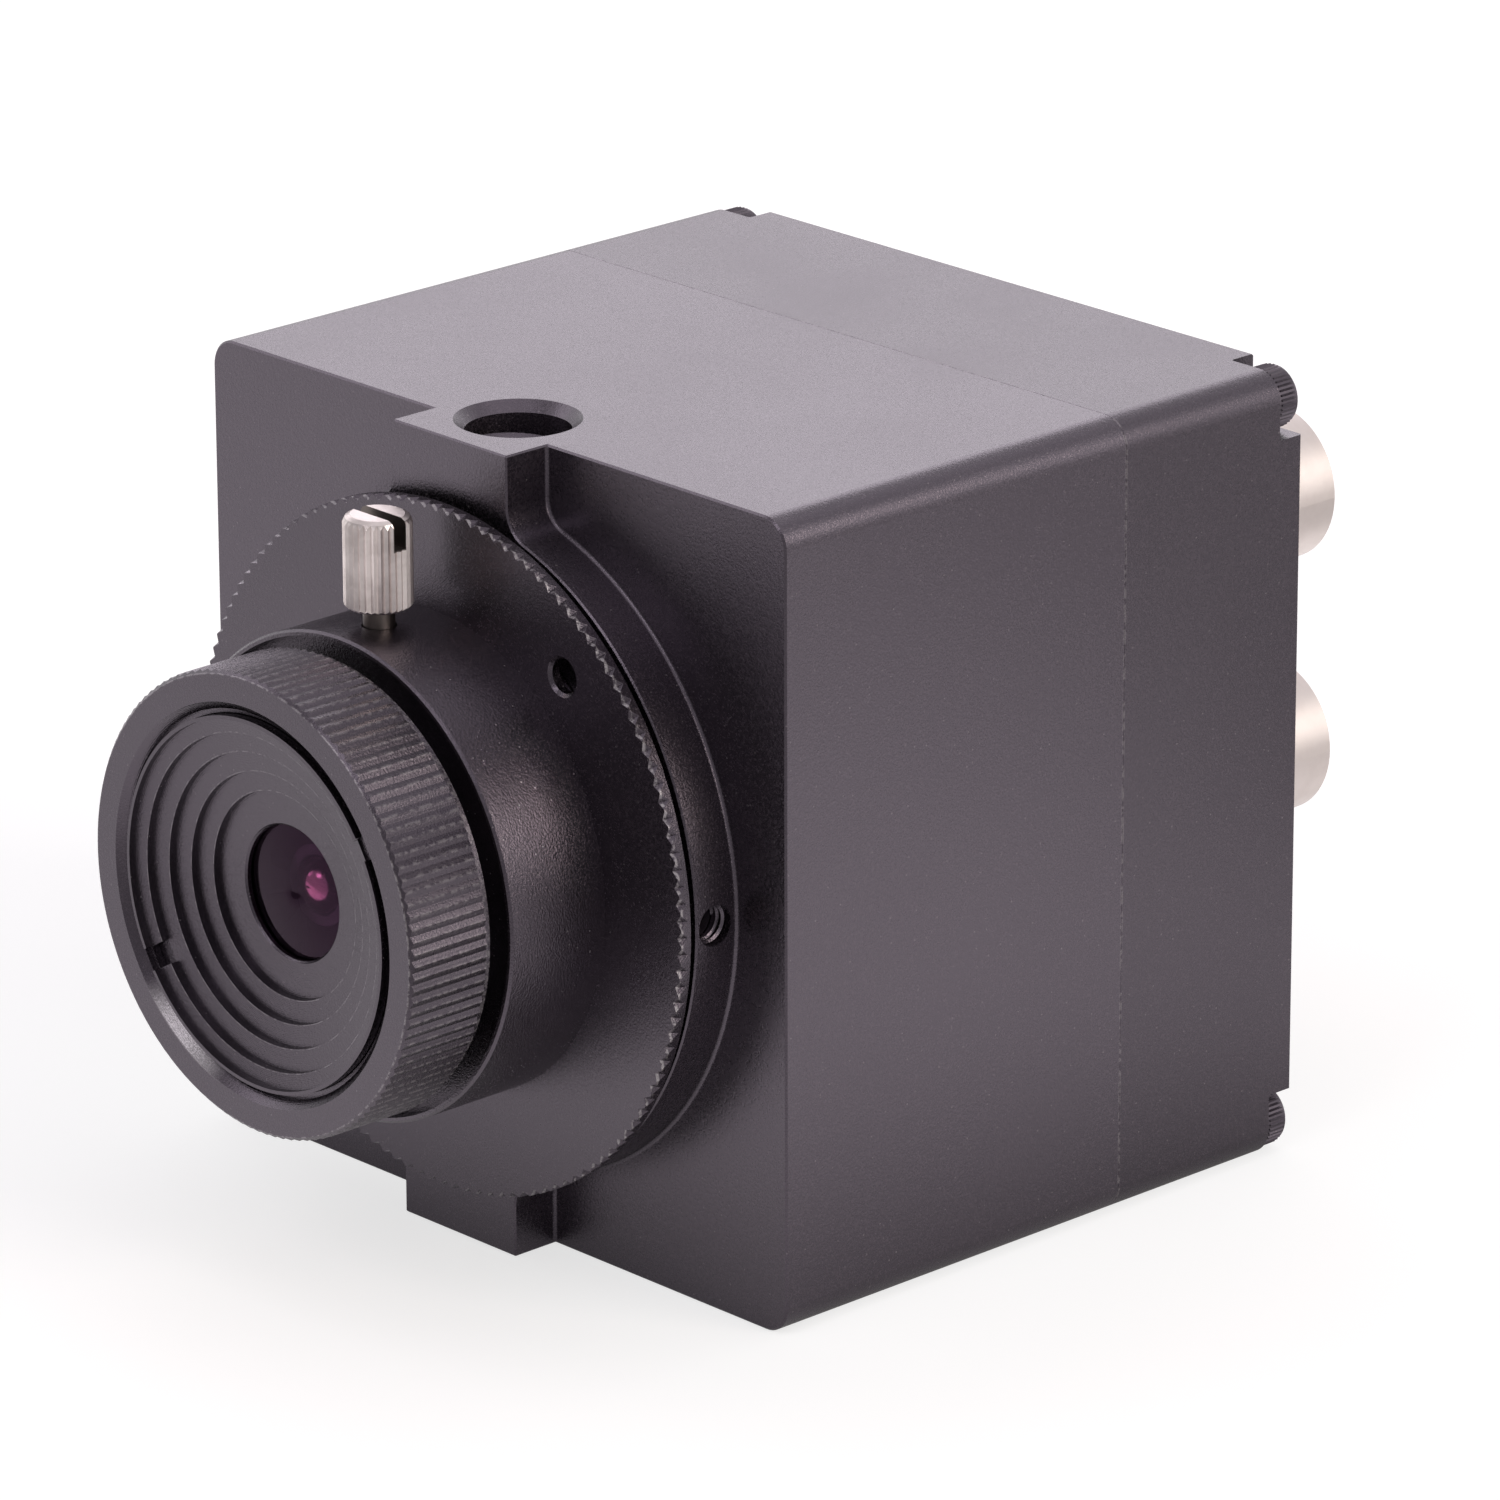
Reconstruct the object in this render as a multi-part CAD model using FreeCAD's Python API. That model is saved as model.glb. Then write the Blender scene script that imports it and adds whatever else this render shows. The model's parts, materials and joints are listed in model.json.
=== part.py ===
# Compact studio camera with a sync input: a two-part milled housing, a toothed lens mount ring, a
# manual-focus lens with a lock screw, three stacked circuit boards and a rear wall of jacks.
# Millimetres, +Z up, lens towards -Y. Stations are measured along Y from the front face of the
# housing, and everything moves at the end so that the origin is under the middle of the bounding box.
import FreeCAD, Part
import math
import os

V = FreeCAD.Vector

# Clearances, and the factor by which a slanting cutter passes the surface that it cuts
FIT_GAP = 0.05
TURN_GAP = 0.10
PLAY = 0.20
CUT_PAST = 1.06

# Housing
WIDTH = 50.0
HEIGHT = 50.0
FRONT_DEPTH = 27.5
REAR_DEPTH = 14.9
CORNER_RADIUS = 1.8
WALL = 2.5
FRONT_WALL = 8.0
REAR_WALL = 2.4
POST = 6.0
RIM_CHAMFER = 0.12
SEAM_CHAMFER = 0.03
LIP_LENGTH = 1.5
LIP_THICKNESS = 1.0

# Round boss and tabs on the front face
BOSS_WALL = 4.8
BOSS_HEIGHT = 3.2
BOSS_CHAMFER = 0.1
BOSS_BEAD = 0.25
TAB_WIDTH = 9.9
TAB_FILLET = 2.0

# Tripod sockets in the top and the bottom, quarter inch
TRIPOD_RADIUS = 3.175
TRIPOD_SINK = 0.65
TRIPOD_DEPTH = 6.5
TRIPOD_SETBACK = 2.2

# Corner screws and the reliefs for their heads
SCREW_RADIUS = 1.0
SCREW_INSET = 2.0
SCREW_LENGTH = 22.0
SCREW_HEAD_RADIUS = 1.85
SCREW_HEAD_LENGTH = 1.85
SCREW_HEX = 1.5
RELIEF = 4.1
RELIEF_DEPTH = 1.9
RELIEF_FILLET = 0.2

# One inch lens thread, the toothed mount ring around it and its sleeve in the boss
THREAD_RADIUS = 12.7
THREAD_LENGTH = 4.0
THREAD_WALL = 1.4
SLEEVE_WALL = 3.2
SLEEVE_LENGTH = 5.7
SLEEVE_BORE_DEPTH = 3.0
LIGHT_BORE_RADIUS = 12.0
RING_OVERHANG = 0.4
RING_TEETH = 130
TOOTH_DEPTH = 0.35
TOOTH_RUN = 0.55
TOOTH_LAND = 0.08
RING_THICKNESS = 0.75
RING_GAP = 0.8
SPANNER_HOLE_RADIUS = 1.05
SPANNER_CHAMFER = 0.2
SPANNER_SETOUT = 1.6
SPANNER_ANGLE = 50.0

# Set screws that hold the mount ring
SET_SCREW_RADIUS = 1.2
SET_SCREW_LENGTH = 3.0
SET_SCREW_HEX = 1.3
SET_SCREW_SETBACK = 1.45

# Lens barrel
BARREL_WALL = 2.05
BARREL_LENGTH = 7.25
BARREL_CHAMFER = 0.15
BARREL_LIP = 0.35
BARREL_MOUTH_DEPTH = 1.4
BARREL_SEAT_DEPTH = 2.0

# Focus ring with its long tube
FOCUS_SINK = 0.4
FOCUS_LENGTH = 6.25
FOCUS_GAP = 0.75
FOCUS_CHAMFER = 0.25
FOCUS_RIDGES = 120
RIDGE_DEPTH = 0.13
BAND_STEP = 0.3
BAND_LENGTH = 0.5
TUBE_LENGTH = 8.5
FACE_WIDTH = 2.4
MOUTH_DEPTH = 0.8
MOUTH_CHAMFER = 0.5

# Stepped baffle ring in the front of the focus ring
BAFFLE_GROOVE = 0.35
BAFFLE_SETBACK = 0.15
BAFFLE_LIP = 0.22
BAFFLE_LEDGE = 0.95
BAFFLE_TREAD = 1.3
BAFFLE_RISER = 0.42
BAFFLE_DROP = 0.18
BAFFLE_STEPS = 5
BAFFLE_THROAT = 4.1
THROAT_CHAMFER = 0.12
BAFFLE_DEPTH = 3.4
BAFFLE_SLOT_WIDTH = 1.4
BAFFLE_SLOT_ANGLE = 32.0

# Optical cell and what it holds, lengths in order from the front
CELL_RADIUS = 7.95
CELL_TAIL = 0.2
GLASS_RADIUS = 5.65
GLASS_RIM = 4.2
FRONT_GLASS = 2.6
FRONT_SPACER = 2.1
STOP_THICKNESS = 0.3
SHOULDER_LENGTH = 0.6
MIDDLE_GLASS = 2.4
REAR_SPACER = 1.0
REAR_GLASS = 2.1
RETAINER = 1.3
STOP_RADIUS = 1.3
SHOULDER_RADIUS = 4.5
SPACER_BORE = 4.6
FRONT_SPACER_BORE = 2.4
FRONT_DOME_RADIUS = 35.0
REAR_DOME_RADIUS = 16.0
HOLLOW_RADIUS = 9.0
DIMPLE_RIM = 1.8
DIMPLE_DEPTH = 1.2

# Lock screw of the focus ring, standing on the barrel
LOCK_SETBACK = 3.2
LOCK_NECK = 1.2
LOCK_SHANK_RADIUS = 0.95
LOCK_HEAD_RADIUS = 2.05
LOCK_HEAD_LENGTH = 5.6
LOCK_RIDGES = 30
LOCK_RIDGE_DEPTH = 0.14
LOCK_EDGE = 0.45
LOCK_SLOT_WIDTH = 0.9
LOCK_SLOT_DEPTH = 1.8

# Circuit boards, their pillars and what they carry
BOARD_THICKNESS = 1.6
BOARD_MARGIN = 0.5
PAD_HEIGHT = 1.4
PAD_RADIUS = 2.5
PILLAR_INSET = 3.0
PILLAR_HEX = 4.0
PILLAR_LENGTH = 7.0
STUD_RADIUS = 1.0
STUD_LENGTH = 3.0
TAP_DEPTH = 5.0
BOARD_SCREW_HEAD_RADIUS = 1.9
BOARD_SCREW_HEAD_LENGTH = 1.3
BOARD_SCREW_LENGTH = 5.0
SENSOR_WIDTH = 12.0
SENSOR_HEIGHT = 10.4
SENSOR_THICKNESS = 1.4
COVER_GLASS_INSET = 0.5
COVER_GLASS_THICKNESS = 0.5
HOLDER_SIZE = 16.0
HOLDER_LENGTH = 5.0
HOLDER_WALL = 1.2
FILTER_WIDTH = 12.0
FILTER_HEIGHT = 10.0
FILTER_THICKNESS = 0.8
CHIP_SIZE = 17.0
CHIP_THICKNESS = 1.8
LINK_WIDTH = 20.0
LINK_HEIGHT = 4.0
LINK_DROP = 13.0

# Bayonet jacks on the rear wall
JACK_ROOM = 7.4
JACK_X = 13.3
UPPER_JACK_RISE = 13.0
LOWER_JACK_RISE = -3.4
JACK_REACH = 10.6
JACK_RADIUS = 4.85
JACK_SHOULDER = 0.55
JACK_CHAMFER = 0.3
JACK_BORE = 4.1
JACK_BORE_DEPTH = 11.0
JACK_CORE = 3.4
JACK_FLOOR = 0.8
JACK_NOSE_RADIUS = 2.45
JACK_NOSE_SETBACK = 1.5
CONTACT_RADIUS = 1.05
CONTACT_BORE = 0.7
CONTACT_SETBACK = 2.5
CONTACT_DEPTH = 5.5
LUG_RADIUS = 1.0
LUG_HEIGHT = 0.7
LUG_SETBACK = 3.0
LUG_ANGLE = 90.0

# Digital video socket, power jack and control jack on the rear wall
DIGITAL_X = -8.5
DIGITAL_RISE = 5.0
DIGITAL_WIDTH = 15.0
DIGITAL_HEIGHT = 5.6
DIGITAL_KEY = 1.9
DIGITAL_WALL = 0.5
DIGITAL_PROUD = 0.3
TONGUE_WIDTH = 11.4
TONGUE_HEIGHT = 1.6
TONGUE_SETBACK = 0.8
POWER_X = -12.0
POWER_RISE = -8.0
POWER_BASE = 9.0
POWER_NOSE_RADIUS = 4.0
POWER_BORE = 3.1
POWER_DEPTH = 9.0
POWER_PIN_RADIUS = 1.05
CONTROL_X = 0.0
CONTROL_RISE = -9.0
CONTROL_BASE = 7.0
CONTROL_NOSE_RADIUS = 3.0
CONTROL_BORE = 1.8
CONTROL_DEPTH = 9.4
NOSE_PROUD = 0.6

# Radii that follow from the lens thread, outwards to the boss and inwards to the baffle
SLEEVE_RADIUS = THREAD_RADIUS + TURN_GAP + SLEEVE_WALL
BOSS_RADIUS = SLEEVE_RADIUS + TURN_GAP + BOSS_WALL
RING_RADIUS = BOSS_RADIUS + RING_OVERHANG
BARREL_RADIUS = THREAD_RADIUS + TURN_GAP + BARREL_WALL
BARREL_MOUTH = BARREL_RADIUS - BARREL_LIP
FOCUS_RADIUS = BARREL_MOUTH - FOCUS_SINK
MOUTH_RADIUS = FOCUS_RADIUS - FACE_WIDTH
BAFFLE_RADIUS = MOUTH_RADIUS - BAFFLE_GROOVE
THREAD_BORE = THREAD_RADIUS - THREAD_WALL
TUBE_RADIUS = THREAD_BORE - PLAY - TURN_GAP

# Stations and heights that follow from the sizes above
AXIS = HEIGHT / 2
DEPTH = FRONT_DEPTH + REAR_DEPTH
BOSS_FRONT = -BOSS_HEIGHT
RING_REAR = BOSS_FRONT - RING_GAP
SEAT = RING_REAR - RING_THICKNESS
BARREL_FRONT = SEAT - BARREL_LENGTH
LOCK_STATION = BARREL_FRONT + LOCK_SETBACK
FOCUS_REAR = BARREL_FRONT - FOCUS_GAP
LENS_FRONT = FOCUS_REAR - FOCUS_LENGTH
BAFFLE_FRONT = LENS_FRONT + BAFFLE_SETBACK
BAFFLE_REAR = BAFFLE_FRONT + BAFFLE_DEPTH
CELL_FRONT = BAFFLE_REAR + TURN_GAP
STACK = [FRONT_GLASS, FRONT_SPACER, STOP_THICKNESS, SHOULDER_LENGTH]
STACK += [MIDDLE_GLASS, REAR_SPACER, REAR_GLASS, RETAINER]
SCREW_SEAT = DEPTH - RELIEF_DEPTH
WALL_INSIDE = DEPTH - REAR_WALL
JACK_END = DEPTH + JACK_REACH
JACK_BASE_RADIUS = JACK_RADIUS + JACK_SHOULDER
BOARD_WIDTH = WIDTH - 2 * (POST + BOARD_MARGIN)
BOARD_HEIGHT = HEIGHT - 2 * (POST + BOARD_MARGIN)
SENSOR_BOARD = FRONT_WALL + PAD_HEIGHT
MAIN_BOARD = SENSOR_BOARD + BOARD_THICKNESS + PILLAR_LENGTH
JACK_SEAT = WALL_INSIDE - JACK_ROOM
JACK_BOARD = JACK_SEAT - BOARD_THICKNESS
SHIFT = V(0, -(LENS_FRONT + JACK_END) / 2, 0)


# Blocks, rods, turned solids and wires

def block(x0, x1, y0, y1, z0, z1):
    return Part.makeBox(x1 - x0, y1 - y0, z1 - z0, V(x0, y0, z0))


def bar(width, height, y0, y1, x=0.0, z=AXIS):
    # A block along Y, centred on (x, z)
    return block(x - width / 2, x + width / 2, y0, y1, z - height / 2, z + height / 2)


def rod(radius, y0, y1, x=0.0, z=AXIS):
    return Part.makeCylinder(radius, y1 - y0, V(x, y0, z), V(0, 1, 0))


def loop(points):
    return Part.makePolygon([V(*p) for p in points] + [V(*points[0])])


def prism(wire, length):
    return Part.Face(wire).extrude(V(0, length, 0))


def turned(profile, x=0.0, z=AXIS):
    # A closed profile of (radius, station) turned about an axis along Y
    face = Part.Face(loop([(radius, station, 0) for radius, station in profile]))
    solid = face.revolve(V(0, 0, 0), V(0, 1, 0), 360)
    solid.translate(V(x, 0, z))
    return solid


def tube(bore, radius, y0, y1):
    return turned([(bore, y0), (radius, y0), (radius, y1), (bore, y1)])


def star(count, tip, root, station):
    # A closed wire of V teeth around the Y axis
    points = []
    for step in range(2 * count):
        radius = root if step % 2 else tip
        angle = math.pi * step / count
        points.append((radius * math.cos(angle), station, radius * math.sin(angle)))
    return loop(points)


def polygon(count, reach, station, x, z, start=0.0):
    turns = [start + 2 * math.pi * step / count for step in range(count)]
    return loop([(x + reach * math.cos(t), station, z + reach * math.sin(t)) for t in turns])


def hexagon(across, station, x, z):
    return polygon(6, across / math.sqrt(3), station, x, z)


def on_circle(radius, degrees):
    angle = math.radians(degrees)
    return radius * math.cos(angle), AXIS + radius * math.sin(angle)


def four(x, z):
    return [(across * x, AXIS + up * z) for across in (-1, 1) for up in (-1, 1)]


def edges_where(shape, test):
    return [edge for edge in shape.Edges if test(edge.BoundBox)]


# Housing

def housing_block(y0, y1, front_chamfer, rear_chamfer):
    solid = block(-WIDTH / 2, WIDTH / 2, y0, y1, 0, HEIGHT)
    solid = solid.makeFillet(CORNER_RADIUS, edges_where(solid, lambda b: b.YLength > WALL))
    solid = solid.makeChamfer(front_chamfer, edges_where(solid, lambda b: b.YMax < y0 + FIT_GAP))
    return solid.makeChamfer(rear_chamfer, edges_where(solid, lambda b: b.YMin > y1 - FIT_GAP))


def cavity(y0, y1):
    hollow = bar(WIDTH - 2 * WALL, HEIGHT - 2 * WALL, y0, y1)
    return hollow.cut([bar(2 * POST, 2 * POST, y0, y1, x, z) for x, z in four(WIDTH / 2, HEIGHT / 2)])


def screw_spots():
    return four(WIDTH / 2 - SCREW_INSET, HEIGHT / 2 - SCREW_INSET)


def pillar_spots():
    # Three board corners, and a fourth pillar moved inwards to clear the upper jack
    across = BOARD_WIDTH / 2 - PILLAR_INSET
    rise = BOARD_HEIGHT / 2 - PILLAR_INSET
    inner = JACK_X - JACK_BASE_RADIUS - PILLAR_HEX
    return [(-across, AXIS - rise), (across, AXIS - rise), (-across, AXIS + rise), (inner, AXIS + rise)]


def boss_pad(low, high):
    # The round pad blends into tabs that run from the low to the high end
    root = FRONT_WALL / 2
    pad = rod(BOSS_RADIUS, BOSS_FRONT, root)
    tabs = block(-TAB_WIDTH / 2, TAB_WIDTH / 2, BOSS_FRONT, root, low, high)
    boss = pad.fuse(tabs).removeSplitter()
    meeting = math.sqrt(BOSS_RADIUS ** 2 - (TAB_WIDTH / 2) ** 2)

    def in_the_crook(box):
        return box.YLength > BOSS_HEIGHT and abs(abs(box.Center.z - AXIS) - meeting) < FIT_GAP

    return boss.makeFillet(TAB_FILLET, edges_where(boss, in_the_crook))


def boss_bead():
    # A round cutter leaves this in the corner; it is made on a larger plate and trimmed to the front face
    plate = block(-WIDTH, WIDTH, 0, FRONT_WALL / 2, -HEIGHT, 2 * HEIGHT)
    whole = plate.fuse(boss_pad(-HEIGHT, 2 * HEIGHT)).removeSplitter()

    def at_the_foot(box):
        level = abs(box.YMin) < FIT_GAP and abs(box.YMax) < FIT_GAP
        return level and box.XMin > -WIDTH / 2 and box.XMax < WIDTH / 2

    whole = whole.makeFillet(BOSS_BEAD, edges_where(whole, at_the_foot))
    reach = BOSS_RADIUS + 2 * BOSS_BEAD
    return whole.common(block(-reach, reach, BOSS_FRONT / 2, FIT_GAP, RIM_CHAMFER, HEIGHT - RIM_CHAMFER))


def front_boss():
    boss = boss_pad(0, HEIGHT)

    def on_the_outline(box):
        tab_end = box.ZMin > HEIGHT - FIT_GAP or box.ZMax < FIT_GAP
        return box.YMax < BOSS_FRONT + FIT_GAP or tab_end and box.YLength > BOSS_HEIGHT

    return boss.makeChamfer(BOSS_CHAMFER, edges_where(boss, on_the_outline))


def tripod_cutter(face, inward):
    # A blind hole with a countersunk mouth, drilled from the given height
    out = V(0, 0, -inward)
    floor = V(0, TRIPOD_SETBACK, face + inward * TRIPOD_DEPTH)
    neck = V(0, TRIPOD_SETBACK, face + inward * TRIPOD_SINK)
    drill = Part.makeCylinder(TRIPOD_RADIUS, TRIPOD_DEPTH, floor, out)
    return drill.fuse(Part.makeCone(TRIPOD_RADIUS, TRIPOD_RADIUS + TRIPOD_SINK, TRIPOD_SINK, neck, out))


def front_housing():
    shell = housing_block(0, FRONT_DEPTH, RIM_CHAMFER, SEAM_CHAMFER)
    shell = shell.fuse([front_boss(), boss_bead()]).removeSplitter()
    pads = [rod(PAD_RADIUS, FRONT_WALL, SENSOR_BOARD, x, z) for x, z in pillar_spots()]
    tools = [cavity(FRONT_WALL, FRONT_DEPTH).cut(pads)]
    tools.append(rod(SLEEVE_RADIUS + TURN_GAP, BOSS_FRONT, SLEEVE_BORE_DEPTH))
    tools.append(rod(LIGHT_BORE_RADIUS, SLEEVE_BORE_DEPTH, FRONT_WALL))
    tools.append(tripod_cutter(HEIGHT, -1))
    tools.append(tripod_cutter(0, 1))
    for side in (-1, 1):
        middle = V(0, BOSS_FRONT + SET_SCREW_SETBACK, AXIS)
        tools.append(Part.makeCylinder(SET_SCREW_RADIUS + FIT_GAP, BOSS_RADIUS, middle, V(side, 0, 0)))
    for x, z in pillar_spots():
        tools.append(rod(STUD_RADIUS + FIT_GAP, SENSOR_BOARD - STUD_LENGTH, SENSOR_BOARD, x, z))
    for x, z in screw_spots():
        tools.append(rod(SCREW_RADIUS + FIT_GAP, SCREW_SEAT - SCREW_LENGTH - PLAY, FRONT_DEPTH, x, z))
    return shell.cut(tools)


def lip_bars(grow, y0, y1):
    # Four straight bars inside the walls, which centre the rear block in the front one
    thick = LIP_THICKNESS + 2 * grow
    inset = WALL + FIT_GAP + LIP_THICKNESS / 2
    bars = []
    for side in (-1, 1):
        bars.append(bar(thick, BOARD_HEIGHT, y0, y1, side * (WIDTH / 2 - inset)))
        bars.append(bar(BOARD_WIDTH, thick, y0, y1, 0, AXIS + side * (HEIGHT / 2 - inset)))
    return bars


def relief_cutter(x, z):
    tool = bar(2 * RELIEF, 2 * RELIEF, SCREW_SEAT, DEPTH + RELIEF_DEPTH, x, z)
    return tool.makeFillet(RELIEF_FILLET, edges_where(tool, lambda b: b.YMax < DEPTH))


def digital_outline(grow, station):
    # Wide socket outline with its two lower corners cut away
    side = DIGITAL_WIDTH / 2 + grow
    top = DIGITAL_HEIGHT / 2 + grow
    foot = side - DIGITAL_KEY
    knee = DIGITAL_KEY - top
    plan = [(-side, top), (side, top), (side, knee), (foot, -top), (-foot, -top), (-side, knee)]
    return loop([(DIGITAL_X + x, station, AXIS + DIGITAL_RISE + z) for x, z in plan])


def rear_housing():
    shell = housing_block(FRONT_DEPTH, DEPTH, SEAM_CHAMFER, RIM_CHAMFER)
    root = FRONT_DEPTH + LIP_LENGTH
    tools = [cavity(FRONT_DEPTH, WALL_INSIDE).cut(lip_bars(FIT_GAP, FRONT_DEPTH, root))]
    tools += [relief_cutter(x, z) for x, z in four(WIDTH / 2, HEIGHT / 2)]
    tools += [rod(SCREW_RADIUS + TURN_GAP, FRONT_DEPTH, DEPTH, x, z) for x, z in screw_spots()]
    for rise in (UPPER_JACK_RISE, LOWER_JACK_RISE):
        tools.append(rod(JACK_RADIUS + PLAY, WALL_INSIDE, DEPTH, JACK_X, AXIS + rise))
    tools.append(prism(digital_outline(PLAY, WALL_INSIDE), REAR_WALL))
    tools.append(rod(POWER_NOSE_RADIUS + PLAY, WALL_INSIDE, DEPTH, POWER_X, AXIS + POWER_RISE))
    tools.append(rod(CONTROL_NOSE_RADIUS + PLAY, WALL_INSIDE, DEPTH, CONTROL_X, AXIS + CONTROL_RISE))
    shell = shell.cut(tools)
    return shell.fuse(lip_bars(0, FRONT_DEPTH - LIP_LENGTH, root)).removeSplitter()


def socket_screw(tip, seat, end, x, z):
    # A cap screw along Y with a hexagon socket in its head
    profile = [(0, tip), (SCREW_RADIUS, tip), (SCREW_RADIUS, seat), (SCREW_HEAD_RADIUS, seat)]
    profile += [(SCREW_HEAD_RADIUS, end - PLAY), (SCREW_HEAD_RADIUS - PLAY, end), (0, end)]
    socket = prism(hexagon(SCREW_HEX, end - SCREW_RADIUS, x, z), SCREW_RADIUS)
    return turned(profile, x, z).cut(socket)


def housing_screws():
    tip = SCREW_SEAT - SCREW_LENGTH
    end = SCREW_SEAT + SCREW_HEAD_LENGTH
    return Part.makeCompound([socket_screw(tip, SCREW_SEAT, end, x, z) for x, z in screw_spots()])


# Lens mount

def toothed_rim():
    # V grooves cut at a slant, deepest at the front edge and run out before the rear edge
    root = RING_RADIUS - TOOTH_DEPTH
    lip = root + CUT_PAST * TOOTH_DEPTH
    side = CUT_PAST * (math.pi * RING_RADIUS / RING_TEETH - TOOTH_LAND / 2)
    mouth = Part.Face(loop([(root, SEAT, 0), (lip, SEAT, side), (lip, SEAT, -side)]))
    groove = mouth.extrude(V(TOOTH_DEPTH, TOOTH_RUN, 0) * CUT_PAST)
    grooves = []
    for tooth in range(RING_TEETH):
        cutter = groove.copy()
        cutter.rotate(V(0, 0, 0), V(0, 1, 0), 360 * tooth / RING_TEETH)
        grooves.append(cutter)
    flats = polygon(RING_TEETH, RING_RADIUS, SEAT, 0, 0, math.pi / RING_TEETH)
    rim = prism(flats, RING_THICKNESS).cut(grooves)
    rim.translate(V(0, 0, AXIS))
    return rim


def mount_ring():
    sleeve_end = RING_REAR + SLEEVE_LENGTH
    ring = toothed_rim().fuse(rod(SLEEVE_RADIUS, RING_REAR, sleeve_end))
    tools = [rod(THREAD_RADIUS + TURN_GAP, SEAT, sleeve_end)]
    for turn in (0, 180):
        x, z = on_circle(SLEEVE_RADIUS + SPANNER_SETOUT, SPANNER_ANGLE + turn)
        tools.append(rod(SPANNER_HOLE_RADIUS, SEAT, RING_REAR, x, z))
        mouth = SPANNER_HOLE_RADIUS + SPANNER_CHAMFER
        tools.append(Part.makeCone(mouth, SPANNER_HOLE_RADIUS, SPANNER_CHAMFER, V(x, SEAT, z), V(0, 1, 0)))
    return ring.cut(tools)


def mount_set_screws():
    # Headless screws that point at the sleeve from both sides of the boss
    tip = SLEEVE_RADIUS + PLAY
    end = tip + SET_SCREW_LENGTH
    depth = SET_SCREW_LENGTH / 2
    screws = []
    for side in (-1, 1):
        screw = rod(SET_SCREW_RADIUS, tip, end, 0, 0)
        screw = screw.cut(prism(hexagon(SET_SCREW_HEX, end - depth, 0, 0), depth))
        screw.rotate(V(0, 0, 0), V(0, 0, 1), -90 * side)
        screw.translate(V(0, BOSS_FRONT + SET_SCREW_SETBACK, AXIS))
        screws.append(screw)
    return Part.makeCompound(screws)


def thread_sleeve():
    # The lens side of the thread, with an inner flange around the rear of the optical cell
    front = SEAT - BARREL_SEAT_DEPTH + FIT_GAP
    rear = SEAT + THREAD_LENGTH
    flange = rear - THREAD_LENGTH / 2
    neck = CELL_RADIUS + 3 * PLAY
    profile = [(THREAD_BORE, front), (THREAD_RADIUS, front), (THREAD_RADIUS, rear)]
    profile += [(neck, rear), (neck, flange), (THREAD_BORE, flange)]
    return turned(profile)


def lens_barrel():
    floor = BARREL_FRONT + BARREL_MOUTH_DEPTH
    shelf = SEAT - BARREL_SEAT_DEPTH
    bore = TUBE_RADIUS + TURN_GAP
    seat = THREAD_RADIUS + TURN_GAP
    profile = [(BARREL_RADIUS, SEAT), (BARREL_RADIUS, BARREL_FRONT + BARREL_CHAMFER)]
    profile += [(BARREL_RADIUS - BARREL_CHAMFER, BARREL_FRONT), (BARREL_MOUTH, BARREL_FRONT)]
    profile += [(BARREL_MOUTH, floor), (bore, floor), (bore, shelf), (seat, shelf), (seat, SEAT)]
    foot = V(0, LOCK_STATION, AXIS)
    tap = Part.makeCylinder(LOCK_SHANK_RADIUS + TURN_GAP, BARREL_RADIUS, foot, V(0, 0, 1))
    return turned(profile).cut(tap)


def lock_screw():
    # Turned and ridged along Y, slotted across the top, then stood up on the barrel
    tip = TUBE_RADIUS + PLAY
    foot = BARREL_RADIUS + LOCK_NECK
    top = foot + LOCK_HEAD_LENGTH
    head = LOCK_HEAD_RADIUS
    bevel = LOCK_EDGE / 3
    profile = [(0, tip), (LOCK_SHANK_RADIUS, tip), (LOCK_SHANK_RADIUS, foot), (head - PLAY, foot)]
    profile += [(head, foot + PLAY), (head, top - LOCK_EDGE), (head - bevel, top - bevel)]
    profile += [(head - LOCK_EDGE, top), (0, top)]
    ridges = prism(star(LOCK_RIDGES, head, head - LOCK_RIDGE_DEPTH, tip), top - tip)
    slot = bar(2 * head, LOCK_SLOT_WIDTH, top - LOCK_SLOT_DEPTH, top, 0, 0)
    screw = turned(profile, 0, 0).common(ridges).cut(slot)
    screw.rotate(V(0, 0, 0), V(1, 0, 0), 90)
    screw.translate(V(0, LOCK_STATION, AXIS))
    return screw


# Focus ring and optics

def focus_ring():
    # Turned in one piece with its tube, then ridged as far as the plain rear band
    band = FOCUS_REAR - BAND_LENGTH
    tube_end = FOCUS_REAR + TUBE_LENGTH
    mouth = LENS_FRONT + MOUTH_DEPTH
    seat = BAFFLE_RADIUS + FIT_GAP
    bore = CELL_RADIUS + TURN_GAP
    band_radius = FOCUS_RADIUS - BAND_STEP
    profile = [(MOUTH_RADIUS, LENS_FRONT + MOUTH_CHAMFER), (MOUTH_RADIUS + MOUTH_CHAMFER, LENS_FRONT)]
    profile.append((FOCUS_RADIUS - FOCUS_CHAMFER, LENS_FRONT))
    profile += [(FOCUS_RADIUS, LENS_FRONT + FOCUS_CHAMFER), (FOCUS_RADIUS, band), (band_radius, band)]
    profile += [(band_radius, FOCUS_REAR), (TUBE_RADIUS, FOCUS_REAR), (TUBE_RADIUS, tube_end)]
    profile += [(bore, tube_end), (bore, BAFFLE_REAR), (seat, BAFFLE_REAR)]
    profile += [(seat, mouth), (MOUTH_RADIUS, mouth)]
    outline = star(FOCUS_RIDGES, FOCUS_RADIUS, FOCUS_RADIUS - RIDGE_DEPTH, LENS_FRONT)
    ridges = prism(outline, band - LENS_FRONT)
    ridges.translate(V(0, 0, AXIS))
    return turned(profile).common(ridges.fuse(rod(FOCUS_RADIUS, band, tube_end)))


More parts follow.
